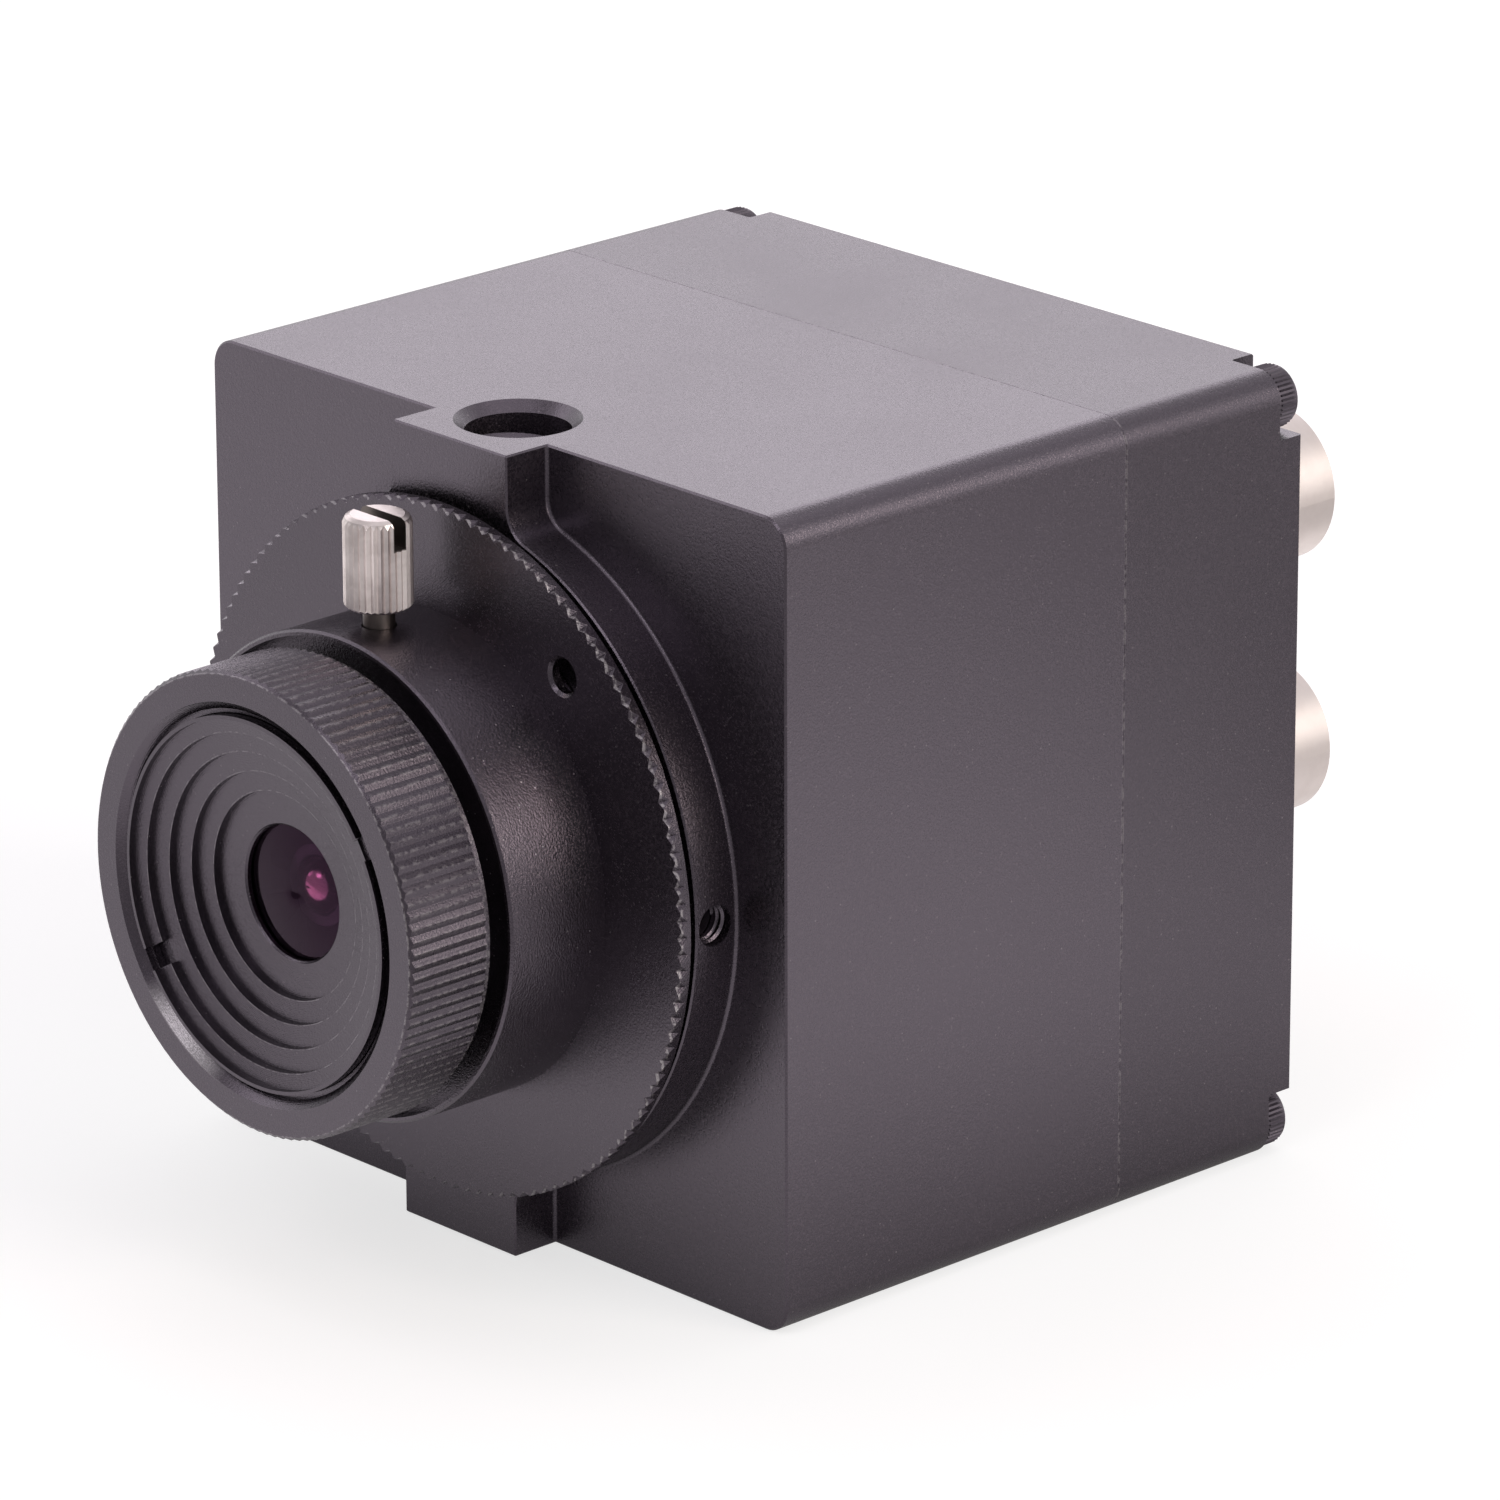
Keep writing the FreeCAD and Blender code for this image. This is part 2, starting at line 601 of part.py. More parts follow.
def baffle_ring():
    # A thin lip, a narrow first ledge and sloping treads down to a chamfered throat, with two wrench slots
    profile = [(BAFFLE_RADIUS, BAFFLE_REAR), (BAFFLE_RADIUS, BAFFLE_FRONT)]
    radius = BAFFLE_RADIUS - BAFFLE_LIP
    station = BAFFLE_FRONT
    for step in range(BAFFLE_STEPS):
        profile += [(radius, station), (radius, station + BAFFLE_RISER)]
        radius -= BAFFLE_TREAD if step else BAFFLE_LEDGE
        station += BAFFLE_RISER + BAFFLE_DROP
    profile.append((BAFFLE_THROAT + THROAT_CHAMFER, station))
    profile += [(BAFFLE_THROAT, station + THROAT_CHAMFER), (BAFFLE_THROAT, BAFFLE_REAR)]
    ring = turned(profile)
    slot_end = BAFFLE_FRONT + 2 * (BAFFLE_RISER + BAFFLE_DROP)
    slot_reach = BAFFLE_LIP + BAFFLE_LEDGE + FIT_GAP
    for turn in (0, 180):
        slot = bar(2 * slot_reach, BAFFLE_SLOT_WIDTH, BAFFLE_FRONT, slot_end, BAFFLE_RADIUS)
        slot.rotate(V(0, 0, AXIS), V(0, -1, 0), BAFFLE_SLOT_ANGLE + turn)
        ring = ring.cut(slot)
    return ring


def stack_ends(order):
    # Front and rear stations of one piece of the stack in the optical cell
    start = CELL_FRONT + sum(STACK[:order])
    return start, start + STACK[order]


def optic_cell():
    shoulder_front, shoulder_rear = stack_ends(STACK.index(SHOULDER_LENGTH))
    rear = CELL_FRONT + sum(STACK) + CELL_TAIL
    bore = GLASS_RADIUS + FIT_GAP
    profile = [(bore, CELL_FRONT), (CELL_RADIUS, CELL_FRONT), (CELL_RADIUS, rear), (bore, rear)]
    profile += [(bore, shoulder_rear), (SHOULDER_RADIUS, shoulder_rear)]
    profile += [(SHOULDER_RADIUS, shoulder_front), (bore, shoulder_front)]
    return turned(profile)


def spacer(order, bore):
    return tube(bore, GLASS_RADIUS, *stack_ends(order))


def crown(rim, depth):
    # Line from the rim of a glass face to the axis, straight or an arc of the given depth
    if depth == 0:
        return Part.makeLine(rim, V(0, rim.y, 0))
    curve = (rim.x ** 2 + depth ** 2) / (2 * abs(depth))
    half = math.asin(rim.x / curve) / 2
    rise = math.copysign(curve * (math.cos(half) - math.cos(2 * half)), depth)
    middle = V(curve * math.sin(half), rim.y + rise, 0)
    return Part.Arc(rim, middle, V(0, rim.y + depth, 0)).toShape()


def sag(curve):
    return curve - math.sqrt(curve ** 2 - GLASS_RIM ** 2)


def glass(order, front_depth, rear_depth, rear_rim=GLASS_RIM):
    # A lens with a flat rim, each face deepened by the given amount along Y at the axis
    y0, y1 = stack_ends(order)
    rim = [V(GLASS_RIM, y0, 0), V(GLASS_RADIUS, y0, 0), V(GLASS_RADIUS, y1, 0), V(rear_rim, y1, 0)]
    edges = [Part.makeLine(rim[side], rim[side + 1]) for side in range(3)]
    edges += [crown(rim[0], front_depth), crown(rim[3], rear_depth)]
    edges.append(Part.makeLine(V(0, y0 + front_depth, 0), V(0, y1 + rear_depth, 0)))
    outline = Part.Wire(Part.__sortEdges__(edges))
    solid = Part.Face(outline).revolve(V(0, 0, 0), V(0, 1, 0), 360)
    solid.translate(V(0, 0, AXIS))
    return solid


# Sensor and circuit boards

def board(station):
    rear = station + BOARD_THICKNESS
    holes = [rod(STUD_RADIUS + TURN_GAP, station, rear, x, z) for x, z in pillar_spots()]
    return bar(BOARD_WIDTH, BOARD_HEIGHT, station, rear).cut(holes)


def sensor_package():
    return bar(SENSOR_WIDTH, SENSOR_HEIGHT, SENSOR_BOARD - SENSOR_THICKNESS, SENSOR_BOARD)


def sensor_glass():
    rear = SENSOR_BOARD - SENSOR_THICKNESS
    trim = 2 * COVER_GLASS_INSET
    return bar(SENSOR_WIDTH - trim, SENSOR_HEIGHT - trim, rear - COVER_GLASS_THICKNESS, rear)


def filter_holder():
    # A cap over the sensor with a pocket for the filter in its front and a window behind it
    front = SENSOR_BOARD - HOLDER_LENGTH
    shelf = front + FILTER_THICKNESS
    inner = HOLDER_SIZE - 2 * HOLDER_WALL
    pocket = bar(FILTER_WIDTH + 2 * FIT_GAP, FILTER_HEIGHT + 2 * FIT_GAP, front, shelf)
    window = bar(FILTER_WIDTH - 2 * HOLDER_WALL, FILTER_HEIGHT - 2 * HOLDER_WALL, shelf, SENSOR_BOARD)
    room = bar(inner, inner, shelf + HOLDER_WALL, SENSOR_BOARD)
    return bar(HOLDER_SIZE, HOLDER_SIZE, front, SENSOR_BOARD).cut([pocket, window, room])


def infrared_filter():
    front = SENSOR_BOARD - HOLDER_LENGTH
    return bar(FILTER_WIDTH, FILTER_HEIGHT, front, front + FILTER_THICKNESS)


def pillars(y0, y1):
    # Hexagon pillars with a stud through the board in front and a tapped hole behind
    stud = BOARD_THICKNESS + STUD_LENGTH - PLAY
    group = []
    for x, z in pillar_spots():
        body = prism(hexagon(PILLAR_HEX, y0, x, z), y1 - y0)
        body = body.fuse(rod(STUD_RADIUS, y0 - stud, y0, x, z))
        group.append(body.cut(rod(STUD_RADIUS + FIT_GAP, y1 - TAP_DEPTH, y1, x, z)))
    return Part.makeCompound(group)


def board_screws():
    tip = JACK_SEAT - BOARD_SCREW_LENGTH
    end = JACK_SEAT + BOARD_SCREW_HEAD_LENGTH
    head = BOARD_SCREW_HEAD_RADIUS
    profile = [(0, tip), (STUD_RADIUS, tip), (STUD_RADIUS, JACK_SEAT)]
    profile += [(head, JACK_SEAT), (head, end), (0, end)]
    return Part.makeCompound([turned(profile, x, z) for x, z in pillar_spots()])


def image_processor():
    front = MAIN_BOARD + BOARD_THICKNESS
    return bar(CHIP_SIZE, CHIP_SIZE, front, front + CHIP_THICKNESS)


def board_link(y0, y1):
    return bar(LINK_WIDTH, LINK_HEIGHT, y0, y1, 0, AXIS - LINK_DROP)


# Rear jacks

def bayonet_shell(rise):
    z = AXIS + rise
    step = WALL_INSIDE - PLAY
    floor = JACK_SEAT + JACK_FLOOR
    ledge = JACK_END - JACK_BORE_DEPTH
    profile = [(0, JACK_SEAT), (JACK_BASE_RADIUS, JACK_SEAT), (JACK_BASE_RADIUS, step), (JACK_RADIUS, step)]
    profile += [(JACK_RADIUS, JACK_END - JACK_CHAMFER), (JACK_RADIUS - JACK_CHAMFER, JACK_END)]
    profile += [(JACK_BORE, JACK_END), (JACK_BORE, ledge), (JACK_CORE, ledge), (JACK_CORE, floor), (0, floor)]
    shell = turned(profile, JACK_X, z)
    for turn in (0, 180):
        angle = math.radians(LUG_ANGLE + turn)
        along = V(math.cos(angle), 0, math.sin(angle))
        root = V(JACK_X, JACK_END - LUG_SETBACK, z) + along * (JACK_RADIUS - JACK_CHAMFER)
        shell = shell.fuse(Part.makeCylinder(LUG_RADIUS, LUG_HEIGHT + JACK_CHAMFER, root, along))
    return shell


def bayonet_insulator(rise):
    floor = JACK_SEAT + JACK_FLOOR
    ledge = JACK_END - JACK_BORE_DEPTH
    nose = JACK_END - JACK_NOSE_SETBACK
    bore = CONTACT_RADIUS + FIT_GAP
    core = JACK_CORE - FIT_GAP
    profile = [(bore, floor), (core, floor), (core, ledge)]
    profile += [(JACK_NOSE_RADIUS, ledge), (JACK_NOSE_RADIUS, nose), (bore, nose)]
    return turned(profile, JACK_X, AXIS + rise)


def bayonet_contact(rise):
    floor = JACK_SEAT + JACK_FLOOR
    end = JACK_END - CONTACT_SETBACK
    inside = end - CONTACT_DEPTH
    profile = [(0, floor), (CONTACT_RADIUS, floor), (CONTACT_RADIUS, end)]
    profile += [(CONTACT_BORE, end), (CONTACT_BORE, inside), (0, inside)]
    return turned(profile, JACK_X, AXIS + rise)


def digital_shell():
    end = DEPTH + DIGITAL_PROUD
    floor = JACK_SEAT + DIGITAL_WALL
    shell = prism(digital_outline(0, JACK_SEAT), end - JACK_SEAT)
    return shell.cut(prism(digital_outline(-DIGITAL_WALL, floor), end - floor))


def digital_tongue():
    end = DEPTH + DIGITAL_PROUD - TONGUE_SETBACK
    floor = JACK_SEAT + DIGITAL_WALL
    return bar(TONGUE_WIDTH, TONGUE_HEIGHT, floor, end, DIGITAL_X, AXIS + DIGITAL_RISE)


def nosed_jack(x, rise, base, nose, bore, depth):
    # A square base on the board with a round nose through the rear wall
    z = AXIS + rise
    end = DEPTH + NOSE_PROUD
    body = bar(base, base, JACK_SEAT, WALL_INSIDE - PLAY, x, z).fuse(rod(nose, JACK_SEAT, end, x, z))
    return body.cut(rod(bore, end - depth, end, x, z))


def power_jack():
    return nosed_jack(POWER_X, POWER_RISE, POWER_BASE, POWER_NOSE_RADIUS, POWER_BORE, POWER_DEPTH)


def power_pin():
    floor = DEPTH + NOSE_PROUD - POWER_DEPTH
    return rod(POWER_PIN_RADIUS, floor, DEPTH, POWER_X, AXIS + POWER_RISE)


def control_jack():
    return nosed_jack(CONTROL_X, CONTROL_RISE, CONTROL_BASE, CONTROL_NOSE_RADIUS, CONTROL_BORE, CONTROL_DEPTH)


NODES = {
    "front_housing": front_housing(),
    "rear_housing": rear_housing(),
    "housing_screws": housing_screws(),
    "mount_set_screws": mount_set_screws(),
    "mount_ring": mount_ring(),
    "thread_sleeve": thread_sleeve(),
    "lens_barrel": lens_barrel(),
    "lock_screw": lock_screw(),
    "focus_ring": focus_ring(),
    "baffle_ring": baffle_ring(),
    "optic_cell": optic_cell(),
    "front_element": glass(0, -sag(FRONT_DOME_RADIUS), -DIMPLE_DEPTH, DIMPLE_RIM),
    "front_spacer": spacer(1, FRONT_SPACER_BORE),
    "aperture_stop": spacer(2, STOP_RADIUS),
    "middle_element": glass(4, 0, -sag(HOLLOW_RADIUS)),
    "rear_spacer": spacer(5, SPACER_BORE),
    "rear_element": glass(6, 0, sag(REAR_DOME_RADIUS)),
    "lens_retainer": spacer(7, SPACER_BORE),
    "infrared_filter": infrared_filter(),
    "filter_holder": filter_holder(),
    "sensor_glass": sensor_glass(),
    "sensor_package": sensor_package(),
    "sensor_board": board(SENSOR_BOARD),
    "front_pillars": pillars(SENSOR_BOARD + BOARD_THICKNESS, MAIN_BOARD),
    "sensor_link": board_link(SENSOR_BOARD + BOARD_THICKNESS, MAIN_BOARD),
    "main_board": board(MAIN_BOARD),
    "image_processor": image_processor(),
    "rear_pillars": pillars(MAIN_BOARD + BOARD_THICKNESS, JACK_BOARD),
    "jack_link": board_link(MAIN_BOARD + BOARD_THICKNESS, JACK_BOARD),
    "jack_board": board(JACK_BOARD),
    "board_screws": board_screws(),
    "upper_jack_shell": bayonet_shell(UPPER_JACK_RISE),
    "upper_jack_insulator": bayonet_insulator(UPPER_JACK_RISE),
    "upper_jack_contact": bayonet_contact(UPPER_JACK_RISE),
    "lower_jack_shell": bayonet_shell(LOWER_JACK_RISE),
    "lower_jack_insulator": bayonet_insulator(LOWER_JACK_RISE),
    "lower_jack_contact": bayonet_contact(LOWER_JACK_RISE),
    "digital_socket_shell": digital_shell(),
    "digital_socket_tongue": digital_tongue(),
    "power_jack": power_jack(),
    "power_pin": power_pin(),
    "control_jack": control_jack(),
}

os.makedirs("parts", exist_ok=True)
for name, shape in NODES.items():
    shape.translate(SHIFT)
    shape.exportStep("parts/" + name + ".step")
    print(name, len(shape.Solids), "solids", round(shape.Volume, 1), "mm3, valid", shape.isValid())
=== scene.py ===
# %% [markdown]
# # A small studio camera in black anodised aluminium
# The real object is a cube of milled aluminium with a short manual-focus lens in front and two bright
# jacks behind. The CAD model already holds every solid piece and every joint. This lesson opens that
# model, stands it in a white studio, gives each metal, glass and plastic its own finish, and adds the
# fine things that a CAD kernel is slow at: threads, knurls and contact strips.

import json
import math

import bmesh
import bpy
from mathutils import Matrix, Quaternion, Vector


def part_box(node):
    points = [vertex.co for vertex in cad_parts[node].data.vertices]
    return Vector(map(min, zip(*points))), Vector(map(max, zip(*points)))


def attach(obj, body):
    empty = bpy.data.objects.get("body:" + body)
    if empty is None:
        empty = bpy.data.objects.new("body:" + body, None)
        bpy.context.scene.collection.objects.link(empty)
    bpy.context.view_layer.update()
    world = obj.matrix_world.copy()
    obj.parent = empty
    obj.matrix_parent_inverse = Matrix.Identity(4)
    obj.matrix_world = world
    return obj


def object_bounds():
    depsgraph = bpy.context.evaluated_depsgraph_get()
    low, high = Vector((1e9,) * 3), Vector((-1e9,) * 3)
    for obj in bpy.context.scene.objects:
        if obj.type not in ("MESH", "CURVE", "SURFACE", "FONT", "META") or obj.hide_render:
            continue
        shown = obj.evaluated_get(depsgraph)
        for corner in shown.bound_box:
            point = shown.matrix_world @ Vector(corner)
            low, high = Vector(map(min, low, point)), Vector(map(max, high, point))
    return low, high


MM = 0.001
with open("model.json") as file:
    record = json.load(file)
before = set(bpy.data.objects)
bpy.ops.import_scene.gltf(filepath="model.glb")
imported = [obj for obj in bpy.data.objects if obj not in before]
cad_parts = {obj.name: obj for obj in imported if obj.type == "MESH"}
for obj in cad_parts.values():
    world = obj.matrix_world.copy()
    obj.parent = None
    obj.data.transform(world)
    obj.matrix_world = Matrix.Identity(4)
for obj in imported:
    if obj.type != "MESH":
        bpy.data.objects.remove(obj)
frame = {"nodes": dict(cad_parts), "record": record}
nodes = frame["nodes"]
cad_low, cad_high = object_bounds()
print("the camera measures", [round(side / MM, 2) for side in cad_high - cad_low], "mm")

# %% [markdown]
# ## The viewpoint
# The photograph was taken from the front right, a little above the camera, with a long lens, so the
# parallel edges of the housing hardly converge. We could drag a camera about until it looks right. It is
# surer to work out the direction as two angles and a small roll, and to keep the eye as a point in metres.

# %% Set up the viewpoint
AZIMUTH = math.radians(46.742)
ELEVATION = math.radians(19.566)
ROLL = math.radians(-0.169)
EYE = Vector((0.392999, -0.366067, 0.21665))
FOCAL_LENGTH = 226.796
SENSOR_WIDTH = 36.0


def looking_back(azimuth, elevation):
    """The direction from the camera's subject towards the eye."""
    level = math.cos(elevation)
    return Vector((math.sin(azimuth) * level, -math.cos(azimuth) * level, math.sin(elevation)))


def place_viewpoint():
    lens = bpy.data.cameras.new("viewpoint")
    lens.lens = FOCAL_LENGTH
    lens.sensor_width = SENSOR_WIDTH
    lens.clip_start = 0.01
    lens.clip_end = 50.0
    eye = bpy.data.objects.new("viewpoint", lens)
    eye.rotation_mode = "QUATERNION"
    eye.location = EYE
    turn = looking_back(AZIMUTH, ELEVATION).to_track_quat("Z", "Y")
    eye.rotation_quaternion = turn @ Quaternion((0, 0, 1), ROLL)
    bpy.context.scene.collection.objects.link(eye)
    bpy.context.scene.camera = eye


place_viewpoint()
print("viewpoint", round((EYE - (cad_low + cad_high) / 2).length, 3), "m from the middle of the camera")

# %% [markdown]
# ## Shader maths as Python
# Materials are node trees, and a tree of Math nodes is hard to read. This small class wraps one output
# socket, so that `1 - mask` or `height * 0.5` writes the Math nodes for us. Everything else, from a noise
# to a ramp, comes from the one method `node`, which sets the node's own options before its sockets.

# %% The class that wraps a socket
class Signal:
    """One value, colour or vector that travels through a node tree."""

    def __init__(self, tree, socket=None):
        self.tree = tree
        self.socket = socket

    def node(self, kind, settings=None, sockets=None, out=0):
        made = self.tree.nodes.new("ShaderNode" + kind)
        for name, value in (settings or {}).items():
            setattr(made, name, value)
        for name, value in (sockets or {}).items():
            self.feed(self.pick(made.inputs, name), value)
        return Signal(self.tree, self.pick(made.outputs, out))

    @staticmethod
    def pick(sockets, name):
        if isinstance(name, int):
            return sockets[name]
        return next(socket for socket in sockets if name in (socket.identifier, socket.name))

    def feed(self, socket, value):
        if isinstance(value, Signal):
            self.tree.links.new(value.socket, socket)
        else:
            socket.default_value = value

    def maths(self, operation, *values):
        return self.node("Math", {"operation": operation}, dict(enumerate(values)))

    def __add__(self, other):
        return self.maths("ADD", self, other)

    def __sub__(self, other):
        return self.maths("SUBTRACT", self, other)

    def __rsub__(self, other):
        return self.maths("SUBTRACT", other, self)

    def __mul__(self, other):
        return self.maths("MULTIPLY", self, other)

    def __pow__(self, other):
        return self.maths("POWER", self, other)

    __radd__ = __add__
    __rmul__ = __mul__

    def __mod__(self, other):
        return self.maths("FLOORED_MODULO", self, other)

    def size(self):
        return self.maths("ABSOLUTE", self)

    def at_most(self, other):
        return self.maths("MINIMUM", self, other)

    def at_least(self, other):
        return self.maths("MAXIMUM", self, other)

    def ease(self, low, high, start=0.0, end=1.0):
        """Rises smoothly from start to end while the signal goes from low to high."""
        return self.node(
            "MapRange",
            {"interpolation_type": "SMOOTHSTEP"},
            {"Value": self, "From Min": low, "From Max": high, "To Min": start, "To Max": end},
        )

    def blend(self, first, second):
        """Mixes two colours, with this signal as the share of the second."""
        return self.node(
            "Mix",
            {"data_type": "RGBA"},
            {"Factor_Float": self, "A_Color": first, "B_Color": second},
            "Result_Color",
        )


print("shader maths ready:", len([name for name in vars(Signal) if name.startswith("__")]), "overloads")

# %% [markdown]
# ## The white studio
# Behind the camera there is only white. A bright wall would throw more light on the object, so the floor and
# the world are simply shown brighter to eye rays and mirror rays than to the light that bounces off them.
# Black metal shows hardly anything but its surroundings, so shade is painted into the floor's colour like the
# tones of a real table top: darker close to the housing, where the housing keeps the light off, a painted
# long shadow behind, and darker in front on the right, on the dark side of the studio. The room in front of
# the lens is grey too. The eye still sees white, and the floor is a real surface, so it also takes the
# camera's rendered shadow.

# %% World and floor
AMBIENT = 0.50
WHITE = (1.0, 1.0, 1.0, 1.0)
CEILING_GREY = (0.62, 0.60, 0.62, 1.0)
CEILING_FROM, CEILING_TO = 0.45, 0.70
ROOM_GREY = (0.40, 0.39, 0.40, 1.0)
ROOM_FROM, ROOM_TO = 0.15, 0.55
AMBIENT_TINT = (1.0, 0.975, 1.0, 1.0)
FLOOR_BLACK = (0.0, 0.0, 0.0, 1.0)
FLOOR_WHITE = (0.88, 0.88, 0.88, 1.0)
FLOOR_GLOW = 0.68
MIRROR_LIFT = 0.40
FLOOR_HALF = 4.0
HOUSING_HALF = 25 * MM
HOUSING_MIDDLE, HOUSING_REACH = 6.5 * MM, 18.5 * MM
CONTACT_SHADE = (-8 * MM, 40 * MM, 0.36, 1.0)
SHADOW_SLANT = 0.5
SHADOW_RISE = (-10 * MM, 75 * MM, 0.0, 0.70)
SHADOW_FALL = (85 * MM, 170 * MM, 1.0, 0.0)
SHADOW_SIDE = (5 * MM, 50 * MM)
DARK_SIDE = (45 * MM, 130 * MM, 1.0, 0.38)
LEFT_SHADE = (-90 * MM, 50 * MM, 0.84, 1.0)


def split(place):
    """The three coordinates of a place."""
    return [place.node("SeparateXYZ", {}, {0: place}, axis) for axis in "XYZ"]


def ray_kinds(start):
    """Two masks: rays straight from the eye, and rays from a mirror or through glass."""
    eye, mirror, through = (start.node("LightPath", {}, {}, "Is %s Ray" % kind)
                            for kind in ("Camera", "Glossy", "Transmission"))
    return eye, (mirror + through).at_most(1.0)


def close_tree(tree, kind, surface):
    last = tree.nodes.new("ShaderNodeOutput" + kind)
    tree.links.new(surface.socket, last.inputs["Surface"])


def white_world():
    world = bpy.data.worlds.new("white_studio")
    bpy.context.scene.world = world
    world.use_nodes = True
    tree = world.node_tree
    tree.nodes.clear()
    start = Signal(tree)
    eye, mirror = ray_kinds(start)
    _, behind, upward = split(start.node("TexCoord", {}, {}, "Generated"))
    sweep = (upward.ease(CEILING_FROM, CEILING_TO) * mirror).blend(WHITE, CEILING_GREY)
    sweep = (behind.ease(-ROOM_TO, -ROOM_FROM, 1.0, 0.0) * mirror).blend(sweep, ROOM_GREY)
    soft = start.node("Background", {}, {"Color": AMBIENT_TINT, "Strength": AMBIENT})
    white = start.node("Background", {}, {"Color": sweep, "Strength": 1.0})
    shown = start.node("MixShader", {}, {0: (eye + mirror).at_most(1.0), 1: soft, 2: white})
    close_tree(tree, "World", shown)


def painted_floor_shade(place):
    """The painted shade of the floor, as a share of white paper in full light."""
    across, along, _ = split(place)
    aside = (across.size() - HOUSING_HALF).at_least(0.0)
    ahead = ((along - HOUSING_MIDDLE).size() - HOUSING_REACH).at_least(0.0)
    away = (aside * aside + ahead * ahead) ** 0.5
    # Painted shade: a contact shadow close to the housing, a long shadow behind it, and a darker side in
    # front on the right.
    near = away.ease(*CONTACT_SHADE)
    behind = along - across * SHADOW_SLANT
    shadow = behind.ease(*SHADOW_RISE) * behind.ease(*SHADOW_FALL) * across.ease(*SHADOW_SIDE)
    side = (across - along).ease(*DARK_SIDE)
    return near * (1.0 - shadow) * side * across.ease(*LEFT_SHADE)


def pale_floor():
    shape = bmesh.new()
    bmesh.ops.create_grid(shape, x_segments=2, y_segments=2, size=FLOOR_HALF)
    mesh = bpy.data.meshes.new("studio_floor")
    shape.to_mesh(mesh)
    shape.free()
    floor = bpy.data.objects.new("studio_floor", mesh)
    bpy.context.scene.collection.objects.link(floor)
    paper = bpy.data.materials.new("white_paper")
    paper.use_nodes = True
    tree = paper.node_tree
    tree.nodes.clear()
    start = Signal(tree)
    eye, mirror = ray_kinds(start)
    # The floor's colour and its glow in mirrors carry the painted shade.
    tone = painted_floor_shade(start.node("TexCoord", {}, {}, "Object"))
    shown = eye * (1.0 - tone * FLOOR_GLOW) + mirror * tone * MIRROR_LIFT
    lift = start.node("Emission", {}, {"Color": WHITE, "Strength": shown})
    paint = start.node("BsdfDiffuse", {}, {"Color": tone.blend(FLOOR_BLACK, FLOOR_WHITE)})
    both = start.node("AddShader", {}, {0: paint, 1: lift})
    close_tree(tree, "Material", both)
    mesh.materials.append(paper)


white_world()
pale_floor()
print("floor of", 2 * FLOOR_HALF, "m under the camera")

# %% [markdown]
# ## Soft light
# Bead-blasted aluminium shows its shape only through broad, soft reflections. Bare lamps would leave small
# hot spots on it, so large soft boxes stand round the camera. The top face mirrors the low one at the back,
# the barrel and the rounded edge catch the warm one on the right, and the boxes in front and on the left
# draw the thin bright lines along the chamfers. Their level is plain: a white card under them comes out
# white. Each has a spot, a size in metres, a radiance and a tint.

# %% Soft boxes
SOFT_BOXES = {
    "overhead_box": ((0.1, 0.1, 1.3), (1.4, 1.4), 0.4, (1.0, 0.97, 1.0)),
    "back_box": ((-0.95, 0.9, 0.62), (1.5, 0.46), 1.38, (1.0, 0.91, 1.0)),
    "left_box": ((-0.95, -0.5, 0.85), (0.6, 0.6), 1.2, (1.0, 0.96, 1.0)),
    "front_box": ((0.12, -0.85, 0.92), (0.5, 0.35), 2.8, (1.0, 0.97, 1.0)),
    "right_box": ((1.12, 0.26, 0.54), (0.72, 0.50), 6.0, (1.0, 0.90, 0.80)),
}


def hang_soft_box(name, spot, size, radiance, tint):
    lamp = bpy.data.lights.new(name, "AREA")
    lamp.shape = "RECTANGLE"
    lamp.size, lamp.size_y = size
    lamp.energy = radiance * math.pi * size[0] * size[1]
    lamp.color = tint
    box = bpy.data.objects.new(name, lamp)
    box.location = spot
    box.rotation_mode = "QUATERNION"
    box.rotation_quaternion = (Vector(spot) - (cad_low + cad_high) / 2).to_track_quat("Z", "Y")
    box.visible_camera = False
    bpy.context.scene.collection.objects.link(box)


for box_name, box_values in SOFT_BOXES.items():
    hang_soft_box(box_name, *box_values)
bpy.context.scene.view_settings.view_transform = "Standard"
print("hung", len(SOFT_BOXES), "soft boxes")

# %% [markdown]
# ## How a finish is put together
# Each finish is one Principled shader. What is the same all over, such as the index of refraction, sits
# on the shader's own sockets. What varies, such as grain, stain and turning marks, is painted from the
# piece's own coordinates in metres, so a mark keeps its true size. The helpers here make the three
# patterns that come back in many finishes: grain, turning rings and a bump.

# %% Finish helpers
LENS_AXIS_Z = sum(corner.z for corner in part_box("lens_barrel")) / 2
finishes = {}


def grain(place, size, detail=2.0, roughness=0.55):
    """Cloudy noise whose lumps are about size metres across."""
    return place.node(
        "TexNoise",
        {},
        {"Vector": place, "Scale": 1.0 / size, "Detail": detail, "Roughness": roughness},
        "Fac",
    )


def cells(place, size):
    """Distance to the nearest of many scattered points, in parts of size."""
    return place.node("TexVoronoi", {}, {"Vector": place, "Scale": 1.0 / size}, "Distance")


def lens_radius(place):
    """Distance from the lens axis, for pieces that were turned on it."""
    x, _, z = split(place)
    up = z - LENS_AXIS_Z
    return (x * x + up * up) ** 0.5


def rings(radius, pitch):
    """A wave from 0 to 1 and back at every pitch, like the marks of a lathe tool."""
    turn = radius * (2 * math.pi / pitch)
    return turn.maths("SINE", turn) * 0.5 + 0.5


def bumped(height, depth):
    """A normal that follows a height from 0 to 1, with depth in metres."""
    return height.node("Bump", {}, {"Strength": 1.0, "Distance": depth, "Height": height}, "Normal")


def make_finish(slot_name, constants, paint):
    made = bpy.data.materials.new(slot_name)
    made.use_nodes = True
    tree = made.node_tree
    tree.nodes.clear()
    start = Signal(tree)
    place = start.node("TexCoord", {}, {}, "Object")
    surface = start.node("BsdfPrincipled", {}, {**constants, **paint(place)})
    close_tree(tree, "Material", surface)
    finishes[slot_name] = made


